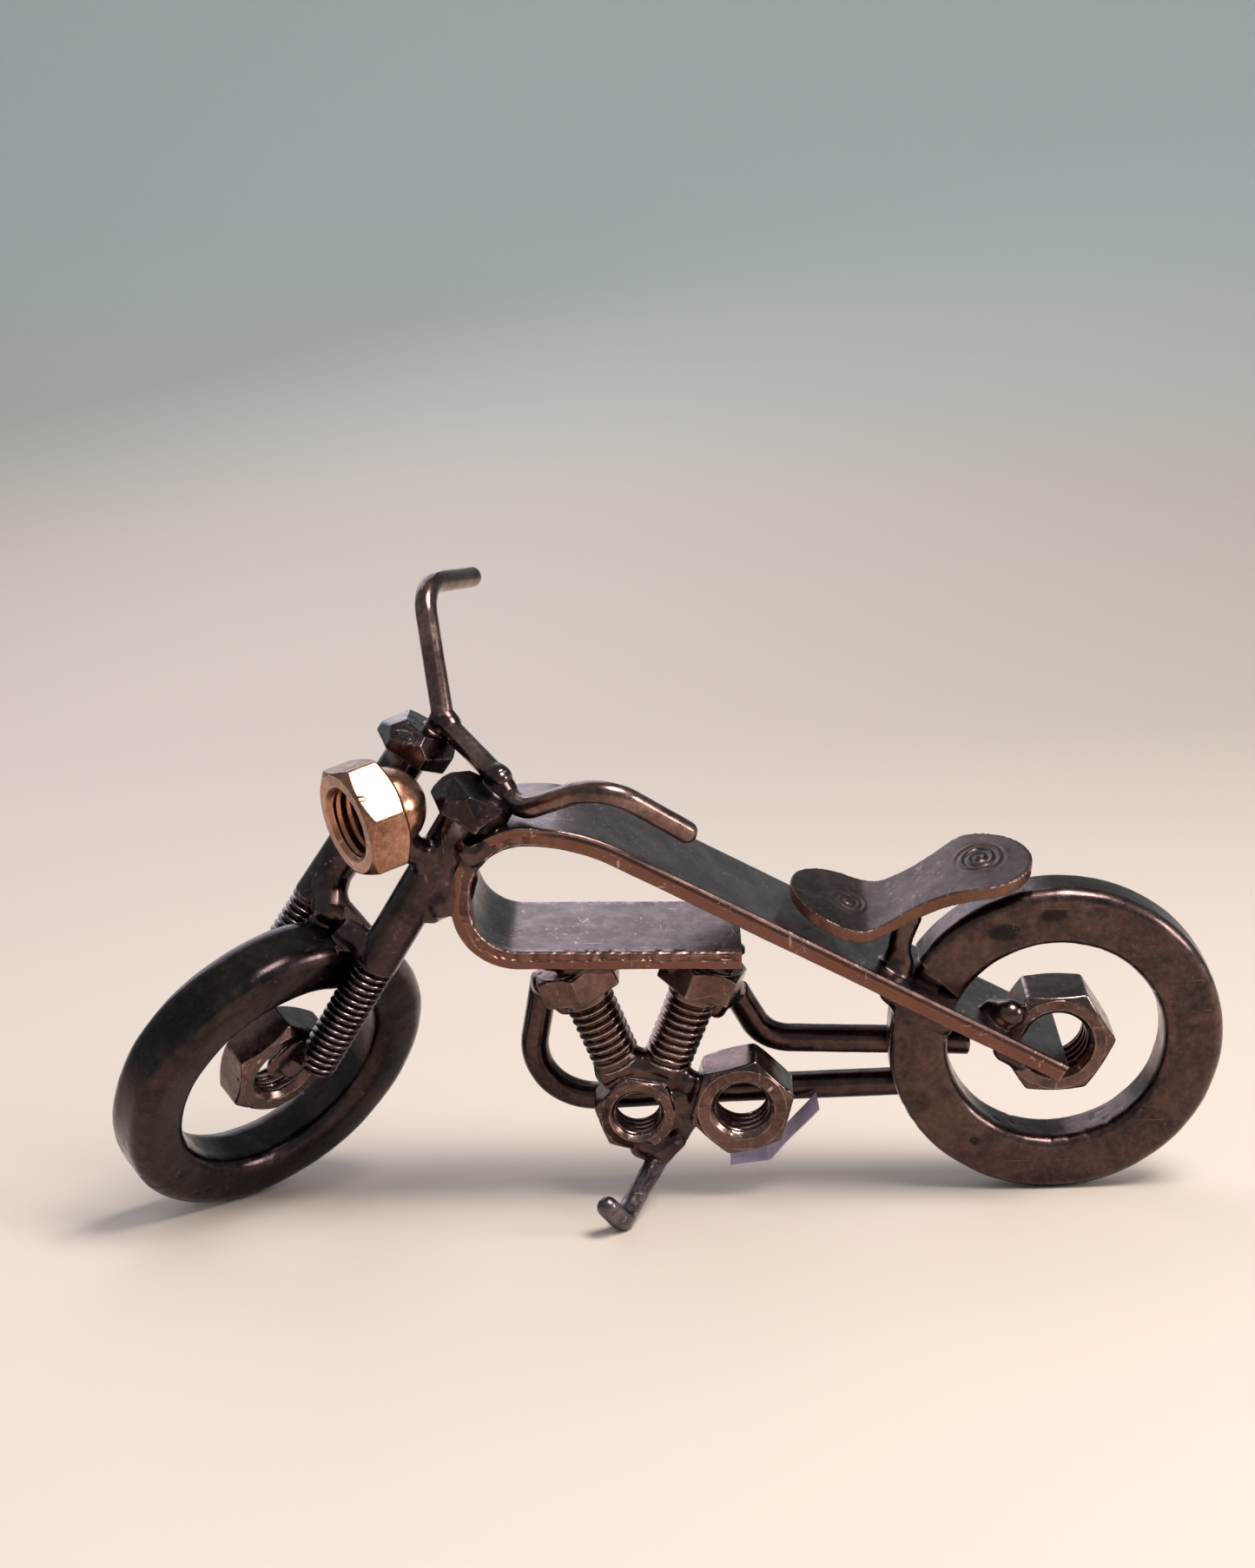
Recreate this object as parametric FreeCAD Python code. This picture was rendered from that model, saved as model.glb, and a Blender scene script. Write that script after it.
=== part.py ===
import FreeCAD, Part
import math
import os
from FreeCAD import Placement, Rotation, Vector

# A small motorcycle welded together from hexagon nuts, bolts, a bent flat bar, round rod and rings.
# Millimetres.  The pieces are laid out in the upright bike's own frame: origin at the centre of the
# rear ring, +X forward, +Y to the rider's left, +Z up.  The whole bike is then leaned on its
# kickstand, stood on the ground and centred, which gives the part's frame.

# ---- inch hardware -------------------------------------------------------------------------------
INCH = 25.4
BOLT_38 = {"major": 3 / 8 * INCH, "pitch": INCH / 16, "flats": 9 / 16 * INCH, "head": 6.1}
BOLT_516 = {"major": 5 / 16 * INCH, "pitch": INCH / 18, "flats": INCH / 2, "head": 5.4}
NUT_38 = {"bore": 4.35, "flats": 9 / 16 * INCH, "height": 8.3}
NUT_716 = {"bore": 5.05, "flats": 11 / 16 * INCH, "height": 9.5}
NUT_12 = {"bore": 5.85, "flats": 3 / 4 * INCH, "height": 11.1}
JAM_12 = {"bore": 5.85, "flats": 3 / 4 * INCH, "height": 7.9}
CHAMFER_ANGLE = math.radians(30)

# ---- flat bar frame ------------------------------------------------------------------------------
BAR_WIDTH = 22.0
BAR_THICK = 3.5
SLOPE = math.radians(28.0)
BAR_TAIL_X = -0.6
BAR_TAIL_Z = -2.8
LOWER_LEG_END = 58.3
LOWER_LEG_Z = 20.35
TANK_MIDDLE_Z = 44.35
FRONT_LEG_X = 108.4
TANK_BEND, NECK_BEND, CHIN_BEND = 34.0, 11.6, 10.2

# ---- rings ---------------------------------------------------------------------------------------
REAR_RING = {"outer": 30.8, "inner": 19.9, "width": 9.3, "round": 1.5}
FRONT_RING = {"outer": 31.5, "inner": 20.9, "width": 10.6, "round": 2.4}
REAR_GAP_ANGLE = math.radians(44.5)

# ---- steering ------------------------------------------------------------------------------------
RAKE = math.radians(30.2)
STEER = math.radians(44.6)
HEAD_X = 142.5
FORK_HALF = 9.35
FORK_LENGTH = 58.5
FORK_THREAD = 24.5
WHEEL_DROP = 6.9
WHEEL_BACK = 0.2
FRONT_NUT = (-4.5, 1.3, 1.4)
RIGHT_LEG_LEAN = 0.08
LAMP_FACE = (49.6, 18.9, 2.6)
LAMP_WAY = (-0.534, 0.844, -0.056)
LAMP_BOWL = (7.4, 5.8)

# ---- engine --------------------------------------------------------------------------------------
CYLINDER_LENGTH = 18.0
FRONT_CYLINDER = {"seat": Vector(87.0, 0, 9.7), "lean": math.radians(22.2), "spin": 0}
REAR_CYLINDER = {"seat": Vector(66.1, 0, 10.2), "lean": math.radians(-19.7), "spin": -17}
SMALL_NUT_CENTRE = Vector(77.2, 0.9, -14.7)
BIG_NUT_CENTRE = Vector(57.7, 1.2, -13.0)
AXLE_NUT_CENTRE = Vector(0.1, 0.5, 0.6)
PIPE_RADIUS = 2.65
PIPE_SIDE = -7.6

# ---- thin rods, seat, stance ---------------------------------------------------------------------
ROD_RADIUS = 2.0
STAND_RADIUS = 1.95
SEAT_THICK = 2.4
SEAT_PAD = 9.9
SEAT_NECK = 7.0
SEAT_FRONT_X = 39.4
SEAT_REAR_X = 15.8
SEAT_ROLL = 7
SEAT_PATH = [Vector(52, 0, 30.7), Vector(34.6, 0, 24.0), Vector(18.2, 0, 34.0), Vector(2, 0, 35.7)]
SEAT_BENDS = [9, 12]
SEAT_HINGE = Vector(27, 0, 27)
STAND_HIP, STAND_ELBOW = Vector(73.4, 3.0, -24.4), Vector(80.0, 20.8, -27.0)
STAND_TIP = Vector(2.4, 4.3, 4.4)
LABEL_FOLDS = [Vector(59.1, 3, -26.1), Vector(52.2, 3, -25.2), Vector(43.7, 3, -14.0)]
LABEL_THICK, LABEL_WIDTH = Vector(0.25, 0, 0.3), 6.5
WHEELBASE = 150.0
SEAT_POST = [(Vector(29.8, 3.4, 15.6), 3.6), (Vector(29.4, 3.6, 20.2), 2.3), (Vector(28.4, 3.6, 26.2), 3.7)]

# How far weld metal keeps back from a nut's bore, and which pieces are cut back to which others.
BORE_CLEAR = 0.8
YIELDS = [("frame_strap", ["fork_bolt_left"]), ("rear_axle_nut", ["frame_strap"]),
          ("rear_cylinder_bolt", ["front_cylinder_bolt"]),
          ("crankcase_nut_rear", ["rear_cylinder_bolt"]),
          ("crankcase_nut_front", ["front_cylinder_bolt", "rear_cylinder_bolt"]),
          ("fork_brace", ["fork_bolt_left", "fork_bolt_right", "front_wheel_ring"]),
          ("handlebar_crossbar", ["fork_bolt_left", "fork_bolt_right"]),
          ("handlebar_right", ["handlebar_crossbar", "fork_bolt_right"]),
          ("handlebar_left", ["handlebar_crossbar", "fork_bolt_left"]),
          ("seat_post", ["frame_strap", "seat_plate"]),
          ("exhaust_pipe_upper", ["rear_cylinder_bolt", "rear_wheel_ring"]),
          ("exhaust_pipe_lower", ["front_cylinder_bolt", "rear_wheel_ring"]),
          ("kickstand", ["crankcase_nut_front"]), ("blank_label", ["crankcase_nut_rear"])]
LEAN = 12.0

Y_AXIS = Vector(0, 1, 0)
Z_AXIS = Vector(0, 0, 1)

# Steering directions: up along the fork legs, ahead of the turned wheel, and along its axle.
FORK_UP = Vector(-math.sin(RAKE), 0, math.cos(RAKE))
SQUARE = Vector(math.cos(RAKE), 0, math.sin(RAKE))
FORK_AHEAD = SQUARE * math.cos(STEER) + Y_AXIS * math.sin(STEER)
FORK_LEFT = Y_AXIS * math.cos(STEER) - SQUARE * math.sin(STEER)


def fork_point(up, ahead, left):
    """A point given in the turned fork's directions."""
    return Vector(HEAD_X, 0, 0) + FORK_UP * up + FORK_AHEAD * ahead + FORK_LEFT * left


def aim(shape, base, direction, spin=0):
    """Stand a shape built along +Z at base, pointing in direction."""
    turn = Rotation(Z_AXIS, direction).multiply(Rotation(Z_AXIS, spin))
    shape.Placement = Placement(base, turn).multiply(shape.Placement)
    return shape


def solid_of(shape):
    """The one solid in a boolean result, or the compound when there are several."""
    return shape.Solids[0] if len(shape.Solids) == 1 else shape


def keep_largest(shape):
    """The biggest solid of a boolean result."""
    return max(shape.Solids, key=lambda s: s.Volume)


def revolve(points):
    """Turn a closed profile of (radius, height) points about the Z axis."""
    wire = Part.makePolygon([Vector(r, 0, z) for r, z in points + points[:1]])
    return solid_of(Part.Face(wire).revolve(Vector(), Z_AXIS, 360))


def hexagon(flats, height, both_ends):
    """A hexagon prism along +Z with its corners turned off at 30 degrees."""
    corner = flats / math.sqrt(3)
    ring = [Vector(corner * math.cos(k * math.pi / 3), corner * math.sin(k * math.pi / 3), 0)
            for k in range(7)]
    prism = Part.Face(Part.makePolygon(ring)).extrude(Vector(0, 0, height))
    top = 0.96 * flats / 2
    drop = (corner + 1 - top) * math.tan(CHAMFER_ANGLE)
    foot = [(top, 0), (corner + 1, drop)] if both_ends else [(corner + 1, 0)]
    profile = [(0, 0)] + foot + [(corner + 1, height - drop), (top, height), (0, height)]
    return solid_of(prism.common(revolve(profile)))


def nut(size):
    """A hexagon nut along +Z, centred on its mid height, bored and countersunk."""
    height, bore = size["height"], size["bore"]
    mouth, sink = bore * 1.14, bore * 0.14
    hole = revolve([(0, -1), (mouth, -1), (mouth, 0), (bore, sink), (bore, height - sink),
                    (mouth, height), (mouth, height + 1), (0, height + 1)])
    body = hexagon(size["flats"], height, True).cut(hole)
    body.translate(Vector(0, 0, -height / 2))
    return solid_of(body)


def bolt(size, length, thread):
    """A hexagon bolt, head seat at z = 0, head above, shank below with ridges at its lower end."""
    radius, pitch = size["major"] / 2, size["pitch"]
    root = radius - 0.6 * pitch
    ridges = int(thread / pitch)
    bottom = -length
    profile = [(0, bottom), (root, bottom)]
    for k in range(ridges):
        low = bottom + k * pitch
        profile += [(root, low + 0.15 * pitch), (radius, low + 0.5 * pitch), (root, low + 0.85 * pitch)]
    run_out = bottom + ridges * pitch
    profile += [(root, run_out), (radius, run_out + 0.6), (radius, 0), (0, 0)]
    shank = revolve([p for k, p in enumerate(profile) if k == 0 or p != profile[k - 1]])
    return solid_of(shank.fuse(hexagon(size["flats"], size["head"], False)).removeSplitter())


def ring(size):
    """A wheel ring with rounded edges, its axle along +Z, centred on the origin."""
    base = Vector(0, 0, -size["width"] / 2)
    disc = Part.makeCylinder(size["outer"], size["width"], base)
    body = disc.cut(Part.makeCylinder(size["inner"], size["width"], base))
    rims = [e for e in body.Edges if isinstance(e.Curve, Part.Circle)]
    return solid_of(body.makeFillet(size["round"], rims))


def rounded_path(points, bends):
    """A wire of straight runs joined by tangent arcs; bends holds one radius per inner point."""
    edges, start = [], points[0]
    for before, corner, after, radius in zip(points, points[1:], points[2:], bends):
        back, ahead = (before - corner).normalize(), (after - corner).normalize()
        half = back.getAngle(ahead) / 2
        reach = radius / math.tan(half)
        enter, leave = corner + back * reach, corner + ahead * reach
        middle = corner + (back + ahead).normalize() * (radius / math.sin(half) - radius)
        edges += [Part.LineSegment(start, enter).toShape(), Part.Arc(enter, middle, leave).toShape()]
        start = leave
    edges.append(Part.LineSegment(start, points[-1]).toShape())
    return Part.Wire(edges)


def rod(points, bends, radius, tips=(0, -1)):
    """Round rod bent along the points; tips names its rounded ends."""
    path = rounded_path(points, bends)
    first = (points[1] - points[0]).normalize()
    section = Part.Wire(Part.Circle(points[0], first, radius).toShape())
    body = path.makePipeShell([section], True, False)
    for end in tips:
        body = body.fuse(Part.makeSphere(radius, points[end]))
    return solid_of(body)


def bead(stations):
    """A weld bead: balls at the stations (point, radius), blended by cones between neighbours."""
    body = Part.makeSphere(stations[0][1], stations[0][0])
    for (a, ra), (b, rb) in zip(stations, stations[1:]):
        if ra == rb:
            link = Part.makeCylinder(ra, (b - a).Length, a, b - a)
        else:
            link = Part.makeCone(ra, rb, (b - a).Length, a, b - a)
        body = body.fuse([link, Part.makeSphere(rb, b)])
    return solid_of(body)


def on_slope(x, above):
    """A point on the sloping bar at x, a given distance square off its middle surface."""
    z = BAR_TAIL_Z + (x - BAR_TAIL_X) * math.tan(SLOPE)
    return Vector(x - above * math.sin(SLOPE), 0, z + above * math.cos(SLOPE))


def frame_strap():
    """The flat bar: lower leg, round the front, over the tank and down through the rear ring."""
    tank_corner_x = BAR_TAIL_X + (TANK_MIDDLE_Z - BAR_TAIL_Z) / math.tan(SLOPE)
    path = rounded_path(
        [Vector(LOWER_LEG_END, 0, LOWER_LEG_Z), Vector(FRONT_LEG_X, 0, LOWER_LEG_Z),
         Vector(FRONT_LEG_X, 0, TANK_MIDDLE_Z), Vector(tank_corner_x, 0, TANK_MIDDLE_Z),
         on_slope(BAR_TAIL_X, 0)],
        [CHIN_BEND, NECK_BEND, TANK_BEND])
    y, z = BAR_WIDTH / 2, BAR_THICK / 2
    corners = [(-y, -z), (y, -z), (y, z), (-y, z), (-y, -z)]
    section = Part.makePolygon([Vector(LOWER_LEG_END, a, LOWER_LEG_Z + b) for a, b in corners])
    return solid_of(path.makePipeShell([section], True, False))


def rear_ring():
    """The split spring ring, opened where the sloping bar passes through it."""
    reach = REAR_RING["outer"] + 8
    low_in, low_out = on_slope(12, -BAR_THICK / 2 - 0.3), on_slope(reach, -BAR_THICK / 2 - 0.3)
    hinge = on_slope(18.6, BAR_THICK / 2)
    high_in = on_slope(12, BAR_THICK / 2)
    high_out = hinge + Vector(math.cos(REAR_GAP_ANGLE), 0, math.sin(REAR_GAP_ANGLE)) * reach
    wedge = Part.Face(Part.makePolygon([low_in, low_out, high_out, hinge, high_in, low_in]))
    wedge.translate(Vector(0, -REAR_RING["width"], 0))
    gap = wedge.extrude(Vector(0, 2 * REAR_RING["width"], 0))
    return solid_of(aim(ring(REAR_RING), Vector(), Y_AXIS).cut(gap))


def seat_plate():
    """A peanut-shaped plate bent down at the front pad and up behind its neck."""
    middle = (SEAT_FRONT_X + SEAT_REAR_X) / 2
    half = (SEAT_FRONT_X - SEAT_REAR_X) / 2
    waist = (half ** 2 + SEAT_NECK ** 2 - SEAT_PAD ** 2) / (2 * (SEAT_PAD - SEAT_NECK))
    tall = 80
    pads = [Part.makeCylinder(SEAT_PAD, tall, Vector(x, 0, 0)) for x in (SEAT_FRONT_X, SEAT_REAR_X)]
    share = SEAT_PAD / (SEAT_PAD + waist)
    touch = Vector(half * (1 - share), (SEAT_NECK + waist) * share, 0)
    signs = ((1, 1), (1, -1), (-1, -1), (-1, 1))
    corners = [Vector(middle + ahead * touch.x, left * touch.y, 0) for ahead, left in signs]
    web = Part.Face(Part.makePolygon(corners + corners[:1])).extrude(Vector(0, 0, tall))
    outline = pads[0].fuse([pads[1], web])
    for side in (1, -1):
        outline = outline.cut(Part.makeCylinder(waist, tall, Vector(middle, side * (SEAT_NECK + waist), 0)))
    path = rounded_path(SEAT_PATH, SEAT_BENDS)
    start = SEAT_PATH[0]
    along = (SEAT_PATH[0] - SEAT_PATH[1]).normalize()
    across = Vector(-along.z, 0, along.x) * (SEAT_THICK / 2)
    wide = Y_AXIS * (1.5 * SEAT_PAD)
    section = Part.makePolygon([start + wide + across, start - wide + across, start - wide - across,
                                start + wide - across, start + wide + across])
    plate = solid_of(path.makePipeShell([section], True, False).common(outline))
    plate.rotate(SEAT_HINGE, Vector(1, 0, 0), -SEAT_ROLL)
    return plate


def cylinder_bolt(cylinder):
    """An engine cylinder: a fully threaded bolt hanging head-up under the lower leg."""
    up = Vector(math.sin(cylinder["lean"]), 0, math.cos(cylinder["lean"]))
    body = bolt(BOLT_38, CYLINDER_LENGTH, CYLINDER_LENGTH - 0.8)
    return aim(body, cylinder["seat"], up, cylinder["spin"] + 30)


def flat_nut(size, centre, spin):
    """A nut with its bore across the bike, turned by spin degrees in the side view."""
    body = nut(size)
    body.rotate(Vector(), Z_AXIS, spin)
    body.rotate(Vector(), Vector(1, 0, 0), -90)
    body.translate(centre)
    return body


def blank_label():
    """A small blank tag folded round the lower rear flats of the big crankcase nut."""
    inner = [fold + LABEL_THICK for fold in reversed(LABEL_FOLDS)]
    outline = LABEL_FOLDS + inner + LABEL_FOLDS[:1]
    return Part.Face(Part.makePolygon(outline)).extrude(Y_AXIS * -LABEL_WIDTH)


def stand_on_ground(rear, front):
    """The placement that leans the bike and pitches it so that both rings touch z = 0."""
    lean = Rotation(Vector(1, 0, 0), -LEAN)
    pitch = 0.0
    for _ in range(6):
        turn = Rotation(Y_AXIS, pitch).multiply(lean)
        lows = []
        for wheel in (rear, front):
            copy = wheel.copy()
            copy.Placement = Placement(Vector(), turn).multiply(copy.Placement)
            lows.append(copy.optimalBoundingBox(False).ZMin)
        pitch += math.degrees(math.atan2(lows[1] - lows[0], WHEELBASE))
    return Placement(Vector(0, 0, -lows[0]), turn)


def kickstand(stance):
    """The bent rod under the small nut; its elbow rests on the ground, its tip turns up outwards."""
    hip, elbow = stance.multVec(STAND_HIP), stance.multVec(STAND_ELBOW)
    elbow.z = STAND_RADIUS
    body = rod([hip, elbow, elbow + STAND_TIP], [2.2], STAND_RADIUS)
    body.translate(Vector(0, 0, -body.optimalBoundingBox(False).ZMin))
    return body


def steering():
    """The fork's two bolts and brace, the headlight and the three handlebar rods."""
    made = {}
    for name, side, back, spin in (("left", 1, 0.0, -10), ("right", -1, RIGHT_LEG_LEAN, -10)):
        seat = fork_point(FORK_LENGTH, -12 * back, side * FORK_HALF)
        leg_up = (FORK_UP - FORK_AHEAD * back).normalize()
        made["fork_bolt_" + name] = aim(bolt(BOLT_516, FORK_LENGTH, FORK_THREAD), seat, leg_up, spin)
    made["fork_brace"] = rod([fork_point(27.4, 1.2, -FORK_HALF), fork_point(27.4, 1.2, FORK_HALF)], [], 2.1)

    lamp_way = (fork_point(*LAMP_WAY) - fork_point(0, 0, 0)).normalize()
    lamp_face = fork_point(*LAMP_FACE)
    lamp_back = lamp_face - lamp_way * JAM_12["height"]
    lamp_middle = lamp_face - lamp_way * (JAM_12["height"] / 2)
    made["headlight_nut"] = aim(nut(JAM_12), lamp_middle, lamp_way, 22)
    outside, inside = LAMP_BOWL
    bowl = Part.makeSphere(outside, lamp_back).cut(aim(Part.makeCylinder(20, 20), lamp_back, lamp_way))
    made["headlight_bowl"] = solid_of(bowl.cut(Part.makeSphere(inside, lamp_back)))

    bar_up = FORK_LENGTH + BOLT_516["head"] + ROD_RADIUS
    made["handlebar_crossbar"] = rod([fork_point(bar_up, -4.6, -8.6), fork_point(bar_up, -4.6, 8.6)],
                                     [], ROD_RADIUS)
    made["handlebar_right"] = rod(
        [fork_point(bar_up + 0.5, -4.2, -9.2), fork_point(82.8, -3.2, -28.6), fork_point(82.9, -22.0, -35.1)],
        [7.5], ROD_RADIUS, (-1,))
    made["handlebar_left"] = rod(
        [fork_point(bar_up - 1.4, -5.6, 10.2), fork_point(63.8, -5.6, 15.2), fork_point(79.4, -3.6, 28.6),
         fork_point(76.5, -22.0, 36.6)], [7.0, 8.0], ROD_RADIUS, (-1,))
    return made


def engine():
    """Two cylinders on two crankcase nuts, and the two exhaust pipes on the far side."""
    made = {"front_cylinder_bolt": cylinder_bolt(FRONT_CYLINDER),
            "rear_cylinder_bolt": cylinder_bolt(REAR_CYLINDER),
            "crankcase_nut_front": flat_nut(NUT_38, SMALL_NUT_CENTRE, -10),
            "crankcase_nut_rear": flat_nut(NUT_716, BIG_NUT_CENTRE, 16)}
    made["exhaust_pipe_upper"] = rod(
        [Vector(59.0, -5.4, 6.4), Vector(53.2, PIPE_SIDE, -4.7), Vector(14.6, PIPE_SIDE, -5.4)],
        [8.0], PIPE_RADIUS, ())
    made["exhaust_pipe_lower"] = rod(
        [Vector(94.4, -6.4, 8.8), Vector(98.8, PIPE_SIDE, -17.9), Vector(60.0, PIPE_SIDE, -15.6),
         Vector(21.0, PIPE_SIDE, -13.8)], [11.5, 60.0], PIPE_RADIUS, ())
    return made


def weld_beads():
    """The balls that each weld bead runs through, as (point, radius)."""
    return {
        "weld_fork_frame": [(Vector(103.8, 8.0, 43.0), 2.2), (Vector(106.4, 8.6, 40.9), 3.0),
                            (Vector(107.4, 8.3, 37.5), 3.7), (Vector(109.0, 8.1, 34.4), 3.8),
                            (Vector(111.0, 8.0, 31.4), 3.0), (Vector(112.6, 7.6, 29.4), 2.3)],
        "weld_headlight": [(fork_point(48.6, 3.2, 8.6), 3.0), (fork_point(49.6, 8.6, 7.6), 3.0)],
        "weld_handlebar_right": [(fork_point(64.6, -5.6, -9.6), 3.3), (fork_point(66.6, -4.8, -8.0), 3.0)],
        "weld_handlebar_left": [(fork_point(64.4, -5.4, 9.1), 3.3), (fork_point(66.2, -4.9, 7.7), 3.0)],
        "weld_fork_brace_right": [(fork_point(29.6, 1.8, -7.4), 3.2), (fork_point(26.6, 3.0, -3.4), 3.4)],
        "weld_fork_brace_left": [(fork_point(26.4, 1.6, 6.4), 3.0), (fork_point(25.8, 2.4, 2.6), 2.8)],
        "weld_front_axle": [(fork_point(-2.4, 2.4, 6.2), 2.0), (fork_point(0.6, 0.8, 6.4), 2.8)],
        "weld_rear_axle_upper": [(Vector(9.2, 6.4, 7.2), 2.9), (Vector(11.8, 3.6, 6.4), 2.6)],
        "weld_rear_axle_lower": [(Vector(9.6, 5.6, -0.6), 2.2), (Vector(6.6, 5.9, -2.6), 1.9)],
        "weld_rear_wheel_under": [(Vector(21.0, 3.6, 4.6), 2.4), (Vector(26.6, 3.0, 7.4), 2.8),
                                  (Vector(30.4, 1.4, 9.6), 2.6)],
        "weld_rear_wheel_over": [(Vector(20.4, -3.4, 11.2), 2.0), (Vector(22.8, 0.0, 12.8), 2.2)],
        "weld_cylinder_front": [(Vector(93.4, 3.0, 17.2), 2.6), (Vector(88.0, 4.4, 16.8), 2.6),
                                (Vector(82.4, 3.0, 16.8), 2.4)],
        "weld_cylinder_bridge": [(Vector(81.0, 1.6, 16.6), 2.3), (Vector(74.6, 1.8, 16.9), 2.4),
                                 (Vector(70.4, 2.2, 16.2), 2.6)],
        "weld_cylinder_rear": [(Vector(66.4, 3.6, 17.0), 2.4), (Vector(60.6, 3.8, 16.8), 2.4)],
        "weld_crankcase_saddle": [(Vector(82.2, 1.6, -7.2), 3.1), (Vector(77.4, 1.8, -6.6), 3.3),
                                  (Vector(71.6, 1.8, -8.2), 3.3), (Vector(68.0, 2.2, -9.4), 3.0)],
        "weld_crankcase_seam": [(Vector(69.0, 2.4, -12.0), 3.4), (Vector(68.4, 2.2, -16.4), 3.6),
                                (Vector(69.6, 2.2, -20.0), 2.6)],
        "weld_kickstand": [(Vector(76.2, 3.2, -23.0), 2.4), (Vector(72.6, 3.0, -23.4), 2.7)],
        "weld_exhaust_front": [(Vector(94.2, -4.4, 8.2), 2.6), (Vector(90.4, -2.4, 5.0), 2.4)],
        "weld_exhaust_rear": [(Vector(60.2, -3.6, 8.0), 2.8), (Vector(62.4, -3.6, 3.6), 2.2)],
    }


def open_bores(stance):
    """Cylinders that keep the weld metal out of the nuts' bores."""
    start, length = -15, 30
    bores = [Part.makeCylinder(size["bore"] + BORE_CLEAR, length, Vector(centre.x, start, centre.z), Y_AXIS)
             for size, centre in ((NUT_38, SMALL_NUT_CENTRE), (NUT_716, BIG_NUT_CENTRE),
                                  (NUT_12, AXLE_NUT_CENTRE))]
    front_bore = Part.makeCylinder(JAM_12["bore"] + BORE_CLEAR, length)
    bores.append(aim(front_bore, fork_point(FRONT_NUT[0], FRONT_NUT[1], start), FORK_LEFT))
    for bore in bores:
        bore.Placement = stance.multiply(bore.Placement)
    return bores


def build():
    """Every piece by name, standing in the part's own frame."""
    rear = rear_ring()
    front = aim(ring(FRONT_RING), fork_point(-WHEEL_DROP, -WHEEL_BACK, 0), FORK_LEFT)
    stance = stand_on_ground(rear, front)

    pieces = {"frame_strap": frame_strap(), "rear_wheel_ring": rear, "front_wheel_ring": front,
              "rear_axle_nut": flat_nut(NUT_12, AXLE_NUT_CENTRE, 2),
              "front_axle_nut": aim(nut(JAM_12), fork_point(*FRONT_NUT), FORK_LEFT, 12),
              "seat_plate": seat_plate(), "seat_post": bead(SEAT_POST), "blank_label": blank_label()}
    pieces.update(steering())
    pieces.update(engine())

    placed = {}
    for name, shape in pieces.items():
        shape.Placement = stance.multiply(shape.Placement)
        placed[name] = shape
    placed["kickstand"] = kickstand(stance)
    for name, others in YIELDS:
        placed[name] = keep_largest(placed[name].cut([placed[o] for o in others]))

    bores = open_bores(stance)
    for name, stations in weld_beads().items():
        blob = bead(stations)
        blob.Placement = stance.multiply(blob.Placement)
        near = [s for s in list(placed.values()) + bores if s.BoundBox.intersect(blob.BoundBox)]
        placed[name] = keep_largest(blob.cut(near))

    box = Part.makeCompound(list(placed.values())).optimalBoundingBox(False)
    shift = Vector(-(box.XMin + box.XMax) / 2, -(box.YMin + box.YMax) / 2, -box.ZMin)
    for shape in placed.values():
        shape.translate(shift)
    return placed, stance, shift


if __name__ == "__main__":
    os.makedirs("parts", exist_ok=True)
    parts, stance, shift = build()
    for name, shape in parts.items():
        assert shape.isValid(), name
        shape.exportStep("parts/" + name + ".step")
    whole = Part.makeCompound(list(parts.values())).optimalBoundingBox(False)
    print("pieces", len(parts), "size", [round(v, 2) for v in (whole.XLength, whole.YLength, whole.ZLength)])
    print("stance", stance, "shift", shift)
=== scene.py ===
import bpy
import math
import numpy as np
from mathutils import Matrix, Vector


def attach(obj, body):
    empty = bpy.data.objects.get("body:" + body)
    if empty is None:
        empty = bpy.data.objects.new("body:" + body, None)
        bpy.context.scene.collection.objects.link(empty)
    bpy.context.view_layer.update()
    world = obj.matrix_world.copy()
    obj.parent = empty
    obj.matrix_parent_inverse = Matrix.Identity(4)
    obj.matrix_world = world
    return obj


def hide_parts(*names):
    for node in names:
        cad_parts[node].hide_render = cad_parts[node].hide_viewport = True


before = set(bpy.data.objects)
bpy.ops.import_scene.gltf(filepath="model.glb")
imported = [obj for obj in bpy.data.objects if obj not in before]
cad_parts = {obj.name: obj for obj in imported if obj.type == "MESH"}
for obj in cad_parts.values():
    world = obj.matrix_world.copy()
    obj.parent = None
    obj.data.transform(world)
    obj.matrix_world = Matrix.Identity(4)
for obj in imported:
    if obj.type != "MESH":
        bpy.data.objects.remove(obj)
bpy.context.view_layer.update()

# A motorcycle welded from nuts, bolts, a bent flat bar, rod and rings.  Shapes are made in the
# upright bike's own frame, in millimetres: origin at the centre of the rear ring, +X forward,
# +Y to the rider's left, +Z up.  to_row() leans the bike on its stand and places it in the frame.

INCH = 25.4
BOLT_38 = {"major": 3 / 8 * INCH, "pitch": INCH / 16, "flats": 9 / 16 * INCH, "head": 6.1}
BOLT_516 = {"major": 5 / 16 * INCH, "pitch": INCH / 18, "flats": INCH / 2, "head": 5.4}
NUT_38 = {"bore": 4.35, "flats": 9 / 16 * INCH, "height": 8.3, "pitch": INCH / 16}
NUT_716 = {"bore": 5.05, "flats": 11 / 16 * INCH, "height": 9.5, "pitch": INCH / 14}
NUT_12 = {"bore": 5.85, "flats": 3 / 4 * INCH, "height": 11.1, "pitch": INCH / 13}
JAM_12 = {"bore": 5.85, "flats": 3 / 4 * INCH, "height": 7.9, "pitch": INCH / 13}

BAR_WIDTH, BAR_THICK = 22.0, 3.5
SLOPE = math.radians(28.0)
BAR_TAIL = np.array([-0.6, 0.0, -2.8])
LOWER_LEG_END, LOWER_LEG_Z = 58.3, 20.35
TANK_MIDDLE_Z, FRONT_LEG_X = 44.35, 108.4
BAR_BENDS = (10.2, 11.6, 34.0)

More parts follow.
